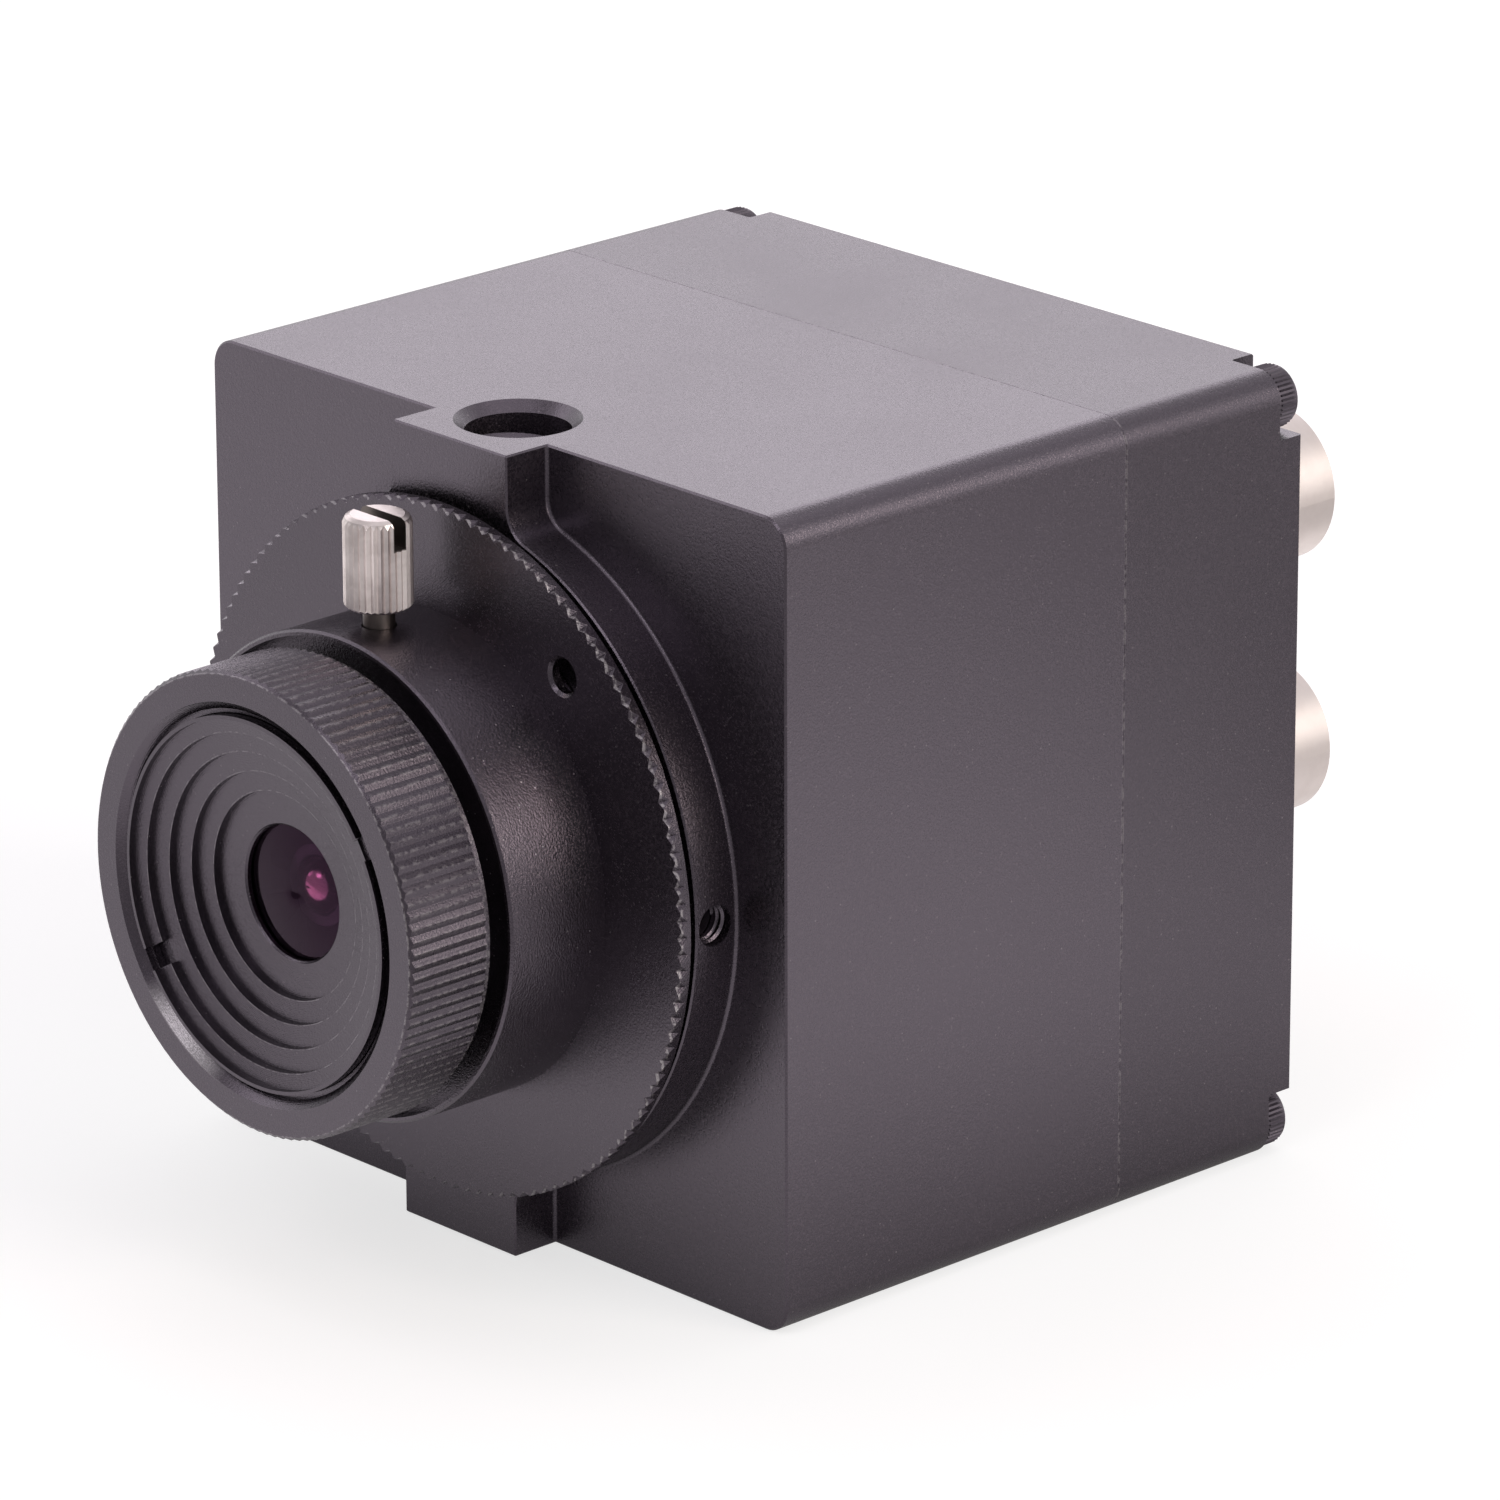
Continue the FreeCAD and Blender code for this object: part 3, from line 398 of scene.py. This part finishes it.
print("lens axis at", round(LENS_AXIS_Z / MM, 2), "mm above the floor")

# %% [markdown]
# ## Black anodised aluminium
# The housing is blasted with fine beads and then dyed black in the anodising bath. The oxide skin has a
# high index of refraction, so the black metal mirrors more light at a slant than paint does, with a faint
# violet cast. We could use a metal shader with a dark colour; a dark dielectric keeps the shadows deep and
# still brightens at a slant. Tiny pits sparkle, so the grain goes both into the bump and the colour.

# %% Anodised finishes
VIOLET_BLACK = (0.0012, 0.0009, 0.0013, 1.0)
GRAIN_GREY = (0.021, 0.017, 0.020, 1.0)
DUST_GREY = (0.115, 0.105, 0.108, 1.0)
BARE_METAL = (0.55, 0.52, 0.54, 1.0)
VIOLET_SHEEN = (0.97, 0.83, 1.0, 1.0)
BEAD = 0.14 * MM
STAIN = 14 * MM
DUST_GAP = 0.7 * MM
DUST_CORE, DUST_EDGE = 0.050, 0.090
BEAD_TIPS = (0.48, 0.68)
STAIN_SPREAD, BEAD_SPREAD = 0.10, 0.12
RING_SHARE = 0.15


def anodised(slot_name, roughness, index, bead_depth, turning=None, wear_and_highlight=None):
    """Blasted black skin; turning is the pitch of a lathe's rings, and the last argument gives bare metal
    where the dye is gone and where a highlight is painted.
    """

    def paint(place):
        beads = grain(place, BEAD, 3.0, 0.6)
        stain = grain(place, STAIN, 2.0)
        dust = cells(place, DUST_GAP).ease(DUST_CORE, DUST_EDGE, 1.0, 0.0)
        height = beads
        if turning:
            height = beads + rings(lens_radius(place), turning) * RING_SHARE
        skin = {
            "Base Color": dust.blend(beads.ease(*BEAD_TIPS).blend(VIOLET_BLACK, GRAIN_GREY), DUST_GREY),
            "Roughness": roughness + (stain - 0.5) * STAIN_SPREAD + (beads - 0.5) * BEAD_SPREAD,
            "Normal": bumped(height, bead_depth),
        }
        if wear_and_highlight:
            bare = wear_and_highlight(place)
            skin["Base Color"] = bare.blend(skin["Base Color"], BARE_METAL)
            skin["Metallic"] = bare
        return skin

    make_finish(slot_name, {"IOR": index, "Specular Tint": VIOLET_SHEEN}, paint)


print("blasted skin with beads of", BEAD / MM, "mm and a speck of dust every", DUST_GAP / MM, "mm")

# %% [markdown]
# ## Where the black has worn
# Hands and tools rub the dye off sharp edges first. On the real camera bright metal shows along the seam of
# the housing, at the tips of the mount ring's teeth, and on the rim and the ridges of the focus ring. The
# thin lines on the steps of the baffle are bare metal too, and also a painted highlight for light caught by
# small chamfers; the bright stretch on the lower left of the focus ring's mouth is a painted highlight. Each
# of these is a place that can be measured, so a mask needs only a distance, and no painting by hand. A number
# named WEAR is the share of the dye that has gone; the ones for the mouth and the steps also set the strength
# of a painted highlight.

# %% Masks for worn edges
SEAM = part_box("front_housing")[1].y
RING_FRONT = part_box("mount_ring")[0].y
TOOTH_ROOT = 20.6 * MM
FOCUS_RIM = 13.85 * MM
RIDGE_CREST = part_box("focus_ring")[1].x
MOUTH_EDGE = 11.95 * MM
# Direction across the lens face to the painted highlight on the focus ring's mouth, and how far it spreads.
MOUTH_SHINE, SHINE_SPREAD = (-0.56, -0.83), 0.94
FIRST_STEP, STEP_WIDTH = 10.18 * MM, 1.3 * MM
LAST_STEP = FIRST_STEP - 3.5 * STEP_WIDTH
STEP_EDGE, STEP_EDGE_REACH = 0.045 * MM, 0.035 * MM
WEAR_PATCH = 0.35 * MM
# Shares of bare metal for each mask; on the mouth of the focus ring and on the steps of the baffle this bare
# metal is also a painted highlight.
SEAM_WEAR, TOOTH_WEAR, RIM_WEAR, CREST_WEAR, MOUTH_HIGHLIGHT, STEP_WEAR_AND_HIGHLIGHT = 0.22, 0.55, 0.35, 0.20, 0.60, 0.30


def band(value, middle, reach):
    """1 at the middle and 0 from the reach on, on both sides."""
    return (value - middle).size().ease(0.5 * reach, reach, 1.0, 0.0)


def patchy(place):
    """Breaks a worn line into short stretches."""
    return grain(place, WEAR_PATCH).ease(0.42, 0.58)


def worn_seam(place):
    return band(split(place)[1], SEAM, 0.12 * MM) * patchy(place) * SEAM_WEAR


def worn_teeth(place):
    behind = split(place)[1] - RING_FRONT
    tips = behind.ease(0.004 * MM, 0.015 * MM) * behind.ease(0.12 * MM, 0.22 * MM, 1.0, 0.0)
    return tips * lens_radius(place).ease(TOOTH_ROOT, TOOTH_ROOT + 0.1 * MM, 0.0, TOOTH_WEAR) * patchy(place)


def worn_rim_and_mouth_highlight(place):
    """Bare metal in a thin line round the face and on the crests of the ridges, and a painted highlight of
    bare metal on the lower left of the mouth's edge.
    """
    x, _, z = split(place)
    radius = lens_radius(place)
    # Painted highlight: bare metal only on the lower left of the mouth's edge, where the highlight falls.
    painted_mouth_highlight = x * MOUTH_SHINE[0] + (z - LENS_AXIS_Z) * MOUTH_SHINE[1] - radius * SHINE_SPREAD
    painted_mouth_highlight = painted_mouth_highlight.ease(0.0, 0.6 * MM) * band(radius, MOUTH_EDGE, 0.40 * MM)
    crests = radius.ease(RIDGE_CREST - 0.06 * MM, RIDGE_CREST - 0.01 * MM, 0.0, CREST_WEAR)
    return (band(radius, FOCUS_RIM, 0.07 * MM) * RIM_WEAR + crests) * patchy(place) + painted_mouth_highlight * MOUTH_HIGHLIGHT


def worn_and_highlit_steps(place):
    # Bare metal on the edge of every step, which is also a painted highlight standing in for the light that
    # small chamfers on the steps would catch.
    radius = lens_radius(place)
    edge = band((radius - FIRST_STEP) % STEP_WIDTH, STEP_EDGE, STEP_EDGE_REACH)
    return edge * radius.ease(LAST_STEP, LAST_STEP + 0.1 * MM, 0.0, STEP_WEAR_AND_HIGHLIGHT) * patchy(place)


anodised("housing_black", 0.27, 2.03, 24e-6, wear_and_highlight=worn_seam)
anodised("rear_housing_black", 0.28, 1.94, 24e-6, wear_and_highlight=worn_seam)
anodised("mount_ring_black", 0.26, 1.9, 19e-6, 0.09 * MM, worn_teeth)
anodised("barrel_black", 0.25, 1.96, 42e-6)
anodised("focus_ring_black", 0.27, 1.9, 17e-6, 0.08 * MM, worn_rim_and_mouth_highlight)
anodised("baffle_black", 0.24, 1.86, 24e-6, 0.10 * MM, worn_and_highlit_steps)
anodised("dark_screws", 0.32, 2.0, 3e-6)
print("anodised finishes:", sorted(finishes))

# %% [markdown]
# ## Glass
# The front of the lens carries a coating that kills most reflections, and what is left of them is violet.
# A clear glass shader lets us look through to the black cell, and a tint on the mirror part stands for
# the coating. The front glass also gets a lower index of refraction than bare glass has, because that weakens
# its mirror as the coating does. The glass darkens towards the rim. The hollow in the rear face of the front
# lens has a stronger coat, so it throws the soft box in front of it back as a pink spot.

# %% Glass finishes
COATING = (0.84, 0.22, 0.78, 1.0)
CLEAR_COATING = (0.75, 0.62, 0.95, 1.0)
HOLLOW_PINK = (0.92, 0.36, 0.58, 1.0)
HOLLOW_RADIUS, HOLLOW_DEPTH = 1.8 * MM, 1.2 * MM
HOLLOW_MIRROR, HOLLOW_ROUGHNESS = 0.65, 0.16
SMUDGE, SMUDGE_ROUGHNESS = 0.4 * MM, 0.06
GLASS_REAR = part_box("front_element")[1].y


def coated_hollow(place):
    """The hollow in the rear face of the front lens, whose coating is stronger and pink."""
    deep = split(place)[1].ease(GLASS_REAR - HOLLOW_DEPTH - 0.2 * MM, GLASS_REAR - HOLLOW_DEPTH - 0.1 * MM)
    return deep * lens_radius(place).ease(HOLLOW_RADIUS - 0.1 * MM, HOLLOW_RADIUS, 1.0, 0.0)


def glass(slot_name, middle, rim, coating, index, rim_radius, hollow=None):
    def paint(place):
        edge = lens_radius(place).ease(0.2 * rim_radius, rim_radius)
        smudges = grain(place, SMUDGE).ease(0.70, 0.85)
        look = {"Base Color": edge.blend(middle, rim), "Roughness": smudges * SMUDGE_ROUGHNESS}
        if hollow:
            coat = hollow(place)
            look["Base Color"] = coat.blend(look["Base Color"], HOLLOW_PINK)
            look["Roughness"] = smudges * SMUDGE_ROUGHNESS + coat * HOLLOW_ROUGHNESS
            look["Metallic"] = coat * HOLLOW_MIRROR
        return look

    constants = {"IOR": index, "Transmission Weight": 1.0, "Specular Tint": coating}
    make_finish(slot_name, constants, paint)


glass("coated_glass", (0.48, 0.29, 0.42, 1), (0.28, 0.17, 0.28, 1), COATING, 1.30, 4.3 * MM, coated_hollow)
glass("inner_glass", (0.90, 0.80, 0.90, 1), (0.70, 0.62, 0.72, 1), COATING, 1.6, 5.5 * MM)
glass("filter_glass", (0.62, 0.85, 0.88, 1), (0.50, 0.72, 0.76, 1), CLEAR_COATING, 1.52, 9.0 * MM)
print("glass finishes:", [name for name in finishes if name.endswith("glass")])

# %% [markdown]
# ## Bright metals
# The lock screw and the bayonet jacks are nickel plated, the contacts have a flash of gold, and the digital
# socket is folded from bright steel. All are metals, so their colour is the colour of their reflection. Each
# gets fine scratches that run with its tool, and a slight stain, because clean plating never mirrors evenly.

# %% Bright metal finishes
SCRATCH = 0.05 * MM
LENGTHWISE, UPRIGHT = (1.0, 0.08, 1.0), (1.0, 1.0, 0.3)
DARKENED_NICKEL = (0.17, 0.145, 0.135, 1.0)
LOCK_HEAD = 5.6 * MM
LOCK_SLOT_HALF, LOCK_SLOT_DEPTH = 0.46 * MM, 1.85 * MM
lock_low, lock_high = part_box("lock_screw")
LOCK_TOP = lock_high.z
LOCK_MIDDLE = (lock_low.y + lock_high.y) / 2


def lock_screw_darkening(place):
    """Painted shade on the neck below the head and down in the slot, and a top painted a little darker."""
    _, along, height = split(place)
    neck = height.ease(LOCK_TOP - LOCK_HEAD - 0.1 * MM, LOCK_TOP - LOCK_HEAD, 1.0, 0.0)
    slot = height.ease(LOCK_TOP - LOCK_SLOT_DEPTH - 0.04 * MM, LOCK_TOP - LOCK_SLOT_DEPTH)
    slot = slot * (along - LOCK_MIDDLE).size().ease(LOCK_SLOT_HALF, LOCK_SLOT_HALF + 0.03 * MM, 1.0, 0.0)
    top = height.ease(LOCK_TOP - 0.4 * MM, LOCK_TOP - 0.1 * MM, 0.0, 0.35)
    return neck.at_least(slot).at_least(top)


def plated(slot_name, bright, dull, roughness, stretch, depth=2e-6, darkening=None):
    """Plated metal; stretch draws the scratches out along one axis, and the last argument marks where the
    colour is painted darker.
    """

    def paint(place):
        along = place.node("Mapping", {}, {"Vector": place, "Scale": stretch})
        scratches = grain(along, SCRATCH, 3.0, 0.65)
        stain = grain(place, 1.6 * MM, 3.0, 0.6)
        colour = stain.ease(0.35, 0.75).blend(bright, dull)
        return {
            # Where the mask is set the colour is painted darker; on the lock screw this is painted shade.
            "Base Color": darkening(place).blend(colour, DARKENED_NICKEL) if darkening else colour,
            "Roughness": roughness + (scratches - 0.5) * 0.14 + (stain - 0.5) * 0.08,
            "Normal": bumped(scratches, depth),
        }

    make_finish(slot_name, {"Metallic": 1.0}, paint)


plated("nickel_screw", (0.97, 0.88, 0.86, 1), (0.74, 0.66, 0.64, 1), 0.34, UPRIGHT, 5e-6, lock_screw_darkening)
plated("jack_nickel", (0.80, 0.72, 0.69, 1), (0.75, 0.67, 0.64, 1), 0.40, LENGTHWISE)
plated("pillar_brass", (0.80, 0.76, 0.66, 1), (0.66, 0.60, 0.48, 1), 0.28, LENGTHWISE)
plated("steel_screws", (0.70, 0.70, 0.72, 1), (0.52, 0.52, 0.55, 1), 0.30, LENGTHWISE)
plated("gold_contact", (0.93, 0.70, 0.32, 1), (0.78, 0.55, 0.22, 1), 0.22, LENGTHWISE)
plated("socket_steel", (0.74, 0.74, 0.75, 1), (0.60, 0.60, 0.62, 1), 0.26, LENGTHWISE)
print("bright metals:", [name for name in finishes if name.split("_")[0] in ("nickel", "jack", "gold")])

# %% [markdown]
# ## Black screws and mouldings
# The corner screws are steel in black oxide, smoother and shinier than the blasted housing. The power and
# control jacks, the chips and the filter holder are black mouldings with a fine spark-eroded skin. The
# insulators of the bayonet jacks are white, slightly waxy plastic.

# %% Screw, moulding and insulator finishes
def moulded(slot_name, colour, fleck, roughness, index, texture, depth):
    def paint(place):
        skin = grain(place, texture, 2.0, 0.6)
        flow = grain(place, 5 * MM, 2.0)
        return {
            "Base Color": skin.ease(0.55, 0.75).blend(colour, fleck),
            "Roughness": roughness + (flow - 0.5) * 0.10 + (skin - 0.5) * 0.08,
            "Normal": bumped(skin, depth),
        }

    make_finish(slot_name, {"IOR": index}, paint)


moulded("lens_inner_black", (0.004, 0.003, 0.004, 1), (0.007, 0.006, 0.007, 1), 0.55, 1.4, 0.30 * MM, 2e-6)
moulded("holder_black", (0.012, 0.012, 0.012, 1), (0.022, 0.022, 0.022, 1), 0.55, 1.5, 0.10 * MM, 6e-6)
moulded("chip_black", (0.016, 0.016, 0.017, 1), (0.032, 0.032, 0.033, 1), 0.48, 1.5, 0.08 * MM, 5e-6)
moulded("socket_black", (0.014, 0.014, 0.015, 1), (0.028, 0.028, 0.030, 1), 0.42, 1.5, 0.12 * MM, 5e-6)
moulded("jack_insulator", (0.84, 0.83, 0.79, 1), (0.88, 0.87, 0.84, 1), 0.38, 1.4, 0.20 * MM, 3e-6)
print("mouldings done,", len(finishes), "finishes so far")

# %% [markdown]
# ## Circuit boards
# The three boards inside are green with solder mask over copper. They are seen only if the housing is taken
# off, but they still need the look of boards: slightly raised traces in a grid, and a weave in the laminate.

# %% Board finish
MASK_GREEN = (0.010, 0.085, 0.040, 1.0)
TRACE_GREEN = (0.030, 0.190, 0.075, 1.0)
TRACK = 0.8 * MM


def solder_mask():
    def paint(place):
        x, _, z = split(place)
        across = place.node("CombineXYZ", {}, {"X": x, "Y": z})
        tracks = place.node(
            "TexBrick",
            {"offset": 0.37, "squash": 1.0},
            {"Vector": across, "Scale": 1.0 / TRACK, "Mortar Size": 0.16, "Mortar Smooth": 0.2,
             "Brick Width": 3.1, "Row Height": 0.9},
            "Fac",
        )
        weave = grain(place, 0.25 * MM, 1.0)
        return {
            "Base Color": tracks.blend(MASK_GREEN, TRACE_GREEN),
            "Roughness": 0.28 + (weave - 0.5) * 0.12,
            "Normal": bumped(tracks * 0.7 + weave * 0.3, 2e-5),
        }

    make_finish("circuit_board", {"IOR": 1.5}, paint)


solder_mask()
for subpart in frame["record"]["subparts"]:
    for place in nodes[subpart["node"]].material_slots:
        place.material = finishes[subpart["material_slot"]]
nodes["rear_housing"].material_slots[0].material = finishes["rear_housing_black"]

# %% [markdown]
# ## Threads
# The tripod sockets and the set-screw holes are tapped. A thread is one small profile swept along a helix.
# A Screw modifier could do that, but bmesh has the same tool: spin turns a profile round an axis, and its
# dvec lifts it a little at each step. We make the ridge at the origin, mouth at zero and the hole running
# down, then turn and move it to its hole. The hole's size comes from the record's own mounts.

# %% Helpers for new pieces
SMOOTH_BELOW = math.radians(40)
MERGE = 0.001 * MM


def add_piece(name, shape, body, slot_name):
    """Closes a bmesh, makes it an object at the origin, and hangs it on a body of the camera."""
    bmesh.ops.remove_doubles(shape, verts=shape.verts, dist=MERGE)
    bmesh.ops.recalc_face_normals(shape, faces=shape.faces)
    mesh = bpy.data.meshes.new(name)
    shape.to_mesh(mesh)
    shape.free()
    mesh.shade_smooth()
    mesh.set_sharp_from_angle(angle=SMOOTH_BELOW)
    piece = bpy.data.objects.new(name, mesh)
    bpy.context.scene.collection.objects.link(piece)
    mesh.materials.append(finishes[slot_name])
    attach(piece, body)
    print("made", name, "with", len(mesh.polygons), "faces")


def towards(point, direction):
    """Moves a shape made along +Z from the origin to a point, facing a direction."""
    return Matrix.Translation(point) @ Vector(direction).to_track_quat("Z", "Y").to_matrix().to_4x4()


print("new pieces turn sharp above", round(math.degrees(SMOOTH_BELOW)), "degrees")

# %% Tapped holes
STEPS_A_TURN = 36
THREAD_ROOT = 0.06 * MM
THREAD_BASE, THREAD_CREST = 0.82, 0.16
RUN_OUT = 27


def thread_ridge(shape, radius, pitch, height, first, last):
    """A right-handed ridge on the wall of a hole, from depth first to depth last below the mouth."""
    base, crest = THREAD_BASE * pitch, THREAD_CREST * pitch
    wall, tip = radius + THREAD_ROOT, radius - height
    corners = [(wall, -base / 2), (wall, base / 2), (tip, crest / 2), (tip, -crest / 2)]
    ring = [shape.verts.new((reach, 0, rise - last)) for reach, rise in corners]
    profile = shape.faces.new(ring)
    turns = (last - first) / pitch
    steps = round(turns * STEPS_A_TURN)
    bmesh.ops.spin(
        shape,
        geom=[profile, *profile.edges, *profile.verts],
        cent=(0, 0, 0),
        axis=(0, 0, 1),
        dvec=(0, 0, (last - first) / steps),
        angle=turns * 2 * math.pi,
        steps=steps,
    )
    for at, vert in enumerate(shape.verts):
        steps_left = steps - at // len(corners)
        reach = vert.co.xy.length
        fade = min(1.0, steps_left / RUN_OUT)
        vert.co.xy *= (wall - (wall - reach) * fade) / reach


TRIPOD_PITCH, TRIPOD_RIDGE = 1.27 * MM, 0.42 * MM
TRIPOD_LEAD, TRIPOD_END = 0.35 * MM, 0.5 * MM
for mount in frame["record"]["mounts"]:
    if mount["name"] in ("tripod_top", "tripod_bottom"):
        outward = Vector(mount["axis"])
        length = mount["dims"]["length_mm"] * MM
        mouth = Vector(mount["pos_m"]) + outward * length / 2
        tap = bmesh.new()
        wall = mount["dims"]["r_mm"] * MM
        thread_ridge(tap, wall, TRIPOD_PITCH, TRIPOD_RIDGE, TRIPOD_LEAD, length - TRIPOD_END)
        tap.transform(towards(mouth, outward))
        add_piece(mount["name"] + "_thread", tap, "camera_body", "housing_black")

# %% Tapped set-screw holes
SET_SCREW_HOLE = 1.25 * MM
SET_SCREW_PITCH, SET_SCREW_RIDGE = 0.45 * MM, 0.16 * MM
SET_SCREW_LEAD, SET_SCREW_END = 0.3 * MM, 0.1 * MM
set_low, set_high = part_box("mount_set_screws")
set_middle = (set_low + set_high) / 2
BOSS_SIDE = 20.9 * MM
for side, side_name in ((1, "right"), (-1, "left")):
    tap = bmesh.new()
    room = BOSS_SIDE - set_high.x
    thread_ridge(tap, SET_SCREW_HOLE, SET_SCREW_PITCH, SET_SCREW_RIDGE, SET_SCREW_LEAD, room - SET_SCREW_END)
    tap.transform(towards((side * BOSS_SIDE, set_middle.y, set_middle.z), (side, 0, 0)))
    add_piece("set_screw_thread_" + side_name, tap, "camera_body", "housing_black")

# %% [markdown]
# ## Knurled screw heads
# Each corner screw is a cap screw whose head is knurled so that fingers can start it. One thin ridge, made
# by extruding a triangle, is spun round the head as copies. Modelled ridges catch the light from
# every side, which a bump map on a head four millimetres wide would not.

# %% Ridges on the corner screws
KNURL_RIDGES = 40
KNURL_PROUD = 0.09 * MM
KNURL_FILL = 0.8
HEAD_RADIUS = 1.85 * MM
screw_low, screw_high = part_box("housing_screws")
KNURL_FROM = screw_high.y - 1.55 * MM
KNURL_TO = screw_high.y - 0.35 * MM


def knurled_head(shape, x, z):
    half = math.pi * HEAD_RADIUS / KNURL_RIDGES * KNURL_FILL
    inner, outer = HEAD_RADIUS - THREAD_ROOT, HEAD_RADIUS + KNURL_PROUD
    spots = ((inner, -half), (inner, half), (outer, 0))
    foot = shape.faces.new([shape.verts.new((x + reach, KNURL_FROM, z + rise)) for reach, rise in spots])
    raised = bmesh.ops.extrude_face_region(shape, geom=[foot])["geom"]
    tips = [part for part in raised if isinstance(part, bmesh.types.BMVert)]
    bmesh.ops.translate(shape, verts=tips, vec=(0, KNURL_TO - KNURL_FROM, 0))
    ridge = list({*tips, *foot.verts})
    faces = list({face for vert in ridge for face in vert.link_faces})
    edges = list({edge for face in faces for edge in face.edges})
    last_step = KNURL_RIDGES - 1
    bmesh.ops.spin(
        shape,
        geom=[*ridge, *edges, *faces],
        cent=(x, 0, z),
        axis=(0, 1, 0),
        angle=2 * math.pi * last_step / KNURL_RIDGES,
        steps=last_step,
        use_duplicate=True,
    )


heads = bmesh.new()
for x in (screw_low.x + HEAD_RADIUS, screw_high.x - HEAD_RADIUS):
    for z in (screw_low.z + HEAD_RADIUS, screw_high.z - HEAD_RADIUS):
        knurled_head(heads, x, z)
add_piece("screw_head_knurls", heads, "camera_body", "dark_screws")

# %% [markdown]
# ## Contacts of the digital socket
# A wide video socket has a plastic tongue with a row of gold strips on each face. One strip is a bevelled
# block; the rest are copies set one pitch apart, with the lower row half a pitch to the side.

# %% Gold strips on the tongue
CONTACT_PITCH = 1.0 * MM
CONTACT_SIZE = (0.42 * MM, 6.2 * MM, 0.10 * MM)
CONTACT_BEVEL = 0.04 * MM
CONTACT_SETBACK = 0.7 * MM
tongue_low, tongue_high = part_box("digital_socket_tongue")
tongue_middle = (tongue_low + tongue_high) / 2


def contact_strip(shape, x, z):
    made = bmesh.ops.create_cube(shape, size=1.0)["verts"]
    bmesh.ops.scale(shape, verts=made, vec=CONTACT_SIZE)
    edges = list({edge for vert in made for edge in vert.link_edges})
    y = tongue_high.y - CONTACT_SETBACK - CONTACT_SIZE[1] / 2
    bmesh.ops.translate(shape, verts=made, vec=(x, y, z))
    bmesh.ops.bevel(
        shape, geom=edges, offset=CONTACT_BEVEL, offset_type="OFFSET", segments=1, profile=0.5,
        affect="EDGES", material=-1, clamp_overlap=True,
    )


strips = bmesh.new()
for row_z, count in ((tongue_high.z, 10), (tongue_low.z, 9)):
    for index in range(count):
        contact_strip(strips, tongue_middle.x + (index - (count - 1) / 2) * CONTACT_PITCH, row_z)
add_piece("digital_socket_contacts", strips, "camera_body", "gold_contact")

# %% [markdown]
# ## Collar of the control jack
# The round control jack has a thin plated collar round its mouth, which guards the edge against the plug. A
# flat ring starts as one small face beside the axis, and a full spin with merging closes it.

# %% Plated collar
COLLAR_INNER = 1.9 * MM
COLLAR_OUTER = 2.6 * MM
COLLAR_RISE = 0.08 * MM
COLLAR_SINK = 0.04 * MM
jack_low, jack_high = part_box("control_jack")
jack_middle = (jack_low + jack_high) / 2


def plated_collar():
    shape = bmesh.new()
    low, high = -COLLAR_SINK, COLLAR_RISE
    soften = COLLAR_RISE / 2
    corners = [
        (COLLAR_INNER, low), (COLLAR_OUTER, low), (COLLAR_OUTER, high - soften),
        (COLLAR_OUTER - soften, high), (COLLAR_INNER + soften, high), (COLLAR_INNER, high - soften),
    ]
    ring = [shape.verts.new((reach, 0, rise)) for reach, rise in corners]
    outline = [shape.edges.new((ring[at - 1], ring[at])) for at in range(len(ring))]
    bmesh.ops.spin(
        shape, geom=[*ring, *outline], cent=(0, 0, 0), axis=(0, 0, 1), angle=2 * math.pi, steps=48,
        use_merge=True,
    )
    shape.transform(towards((jack_middle.x, jack_high.y, jack_middle.z), (0, 1, 0)))
    return shape


add_piece("control_jack_collar", plated_collar(), "camera_body", "jack_nickel")

# %% [markdown]
# ## Closing
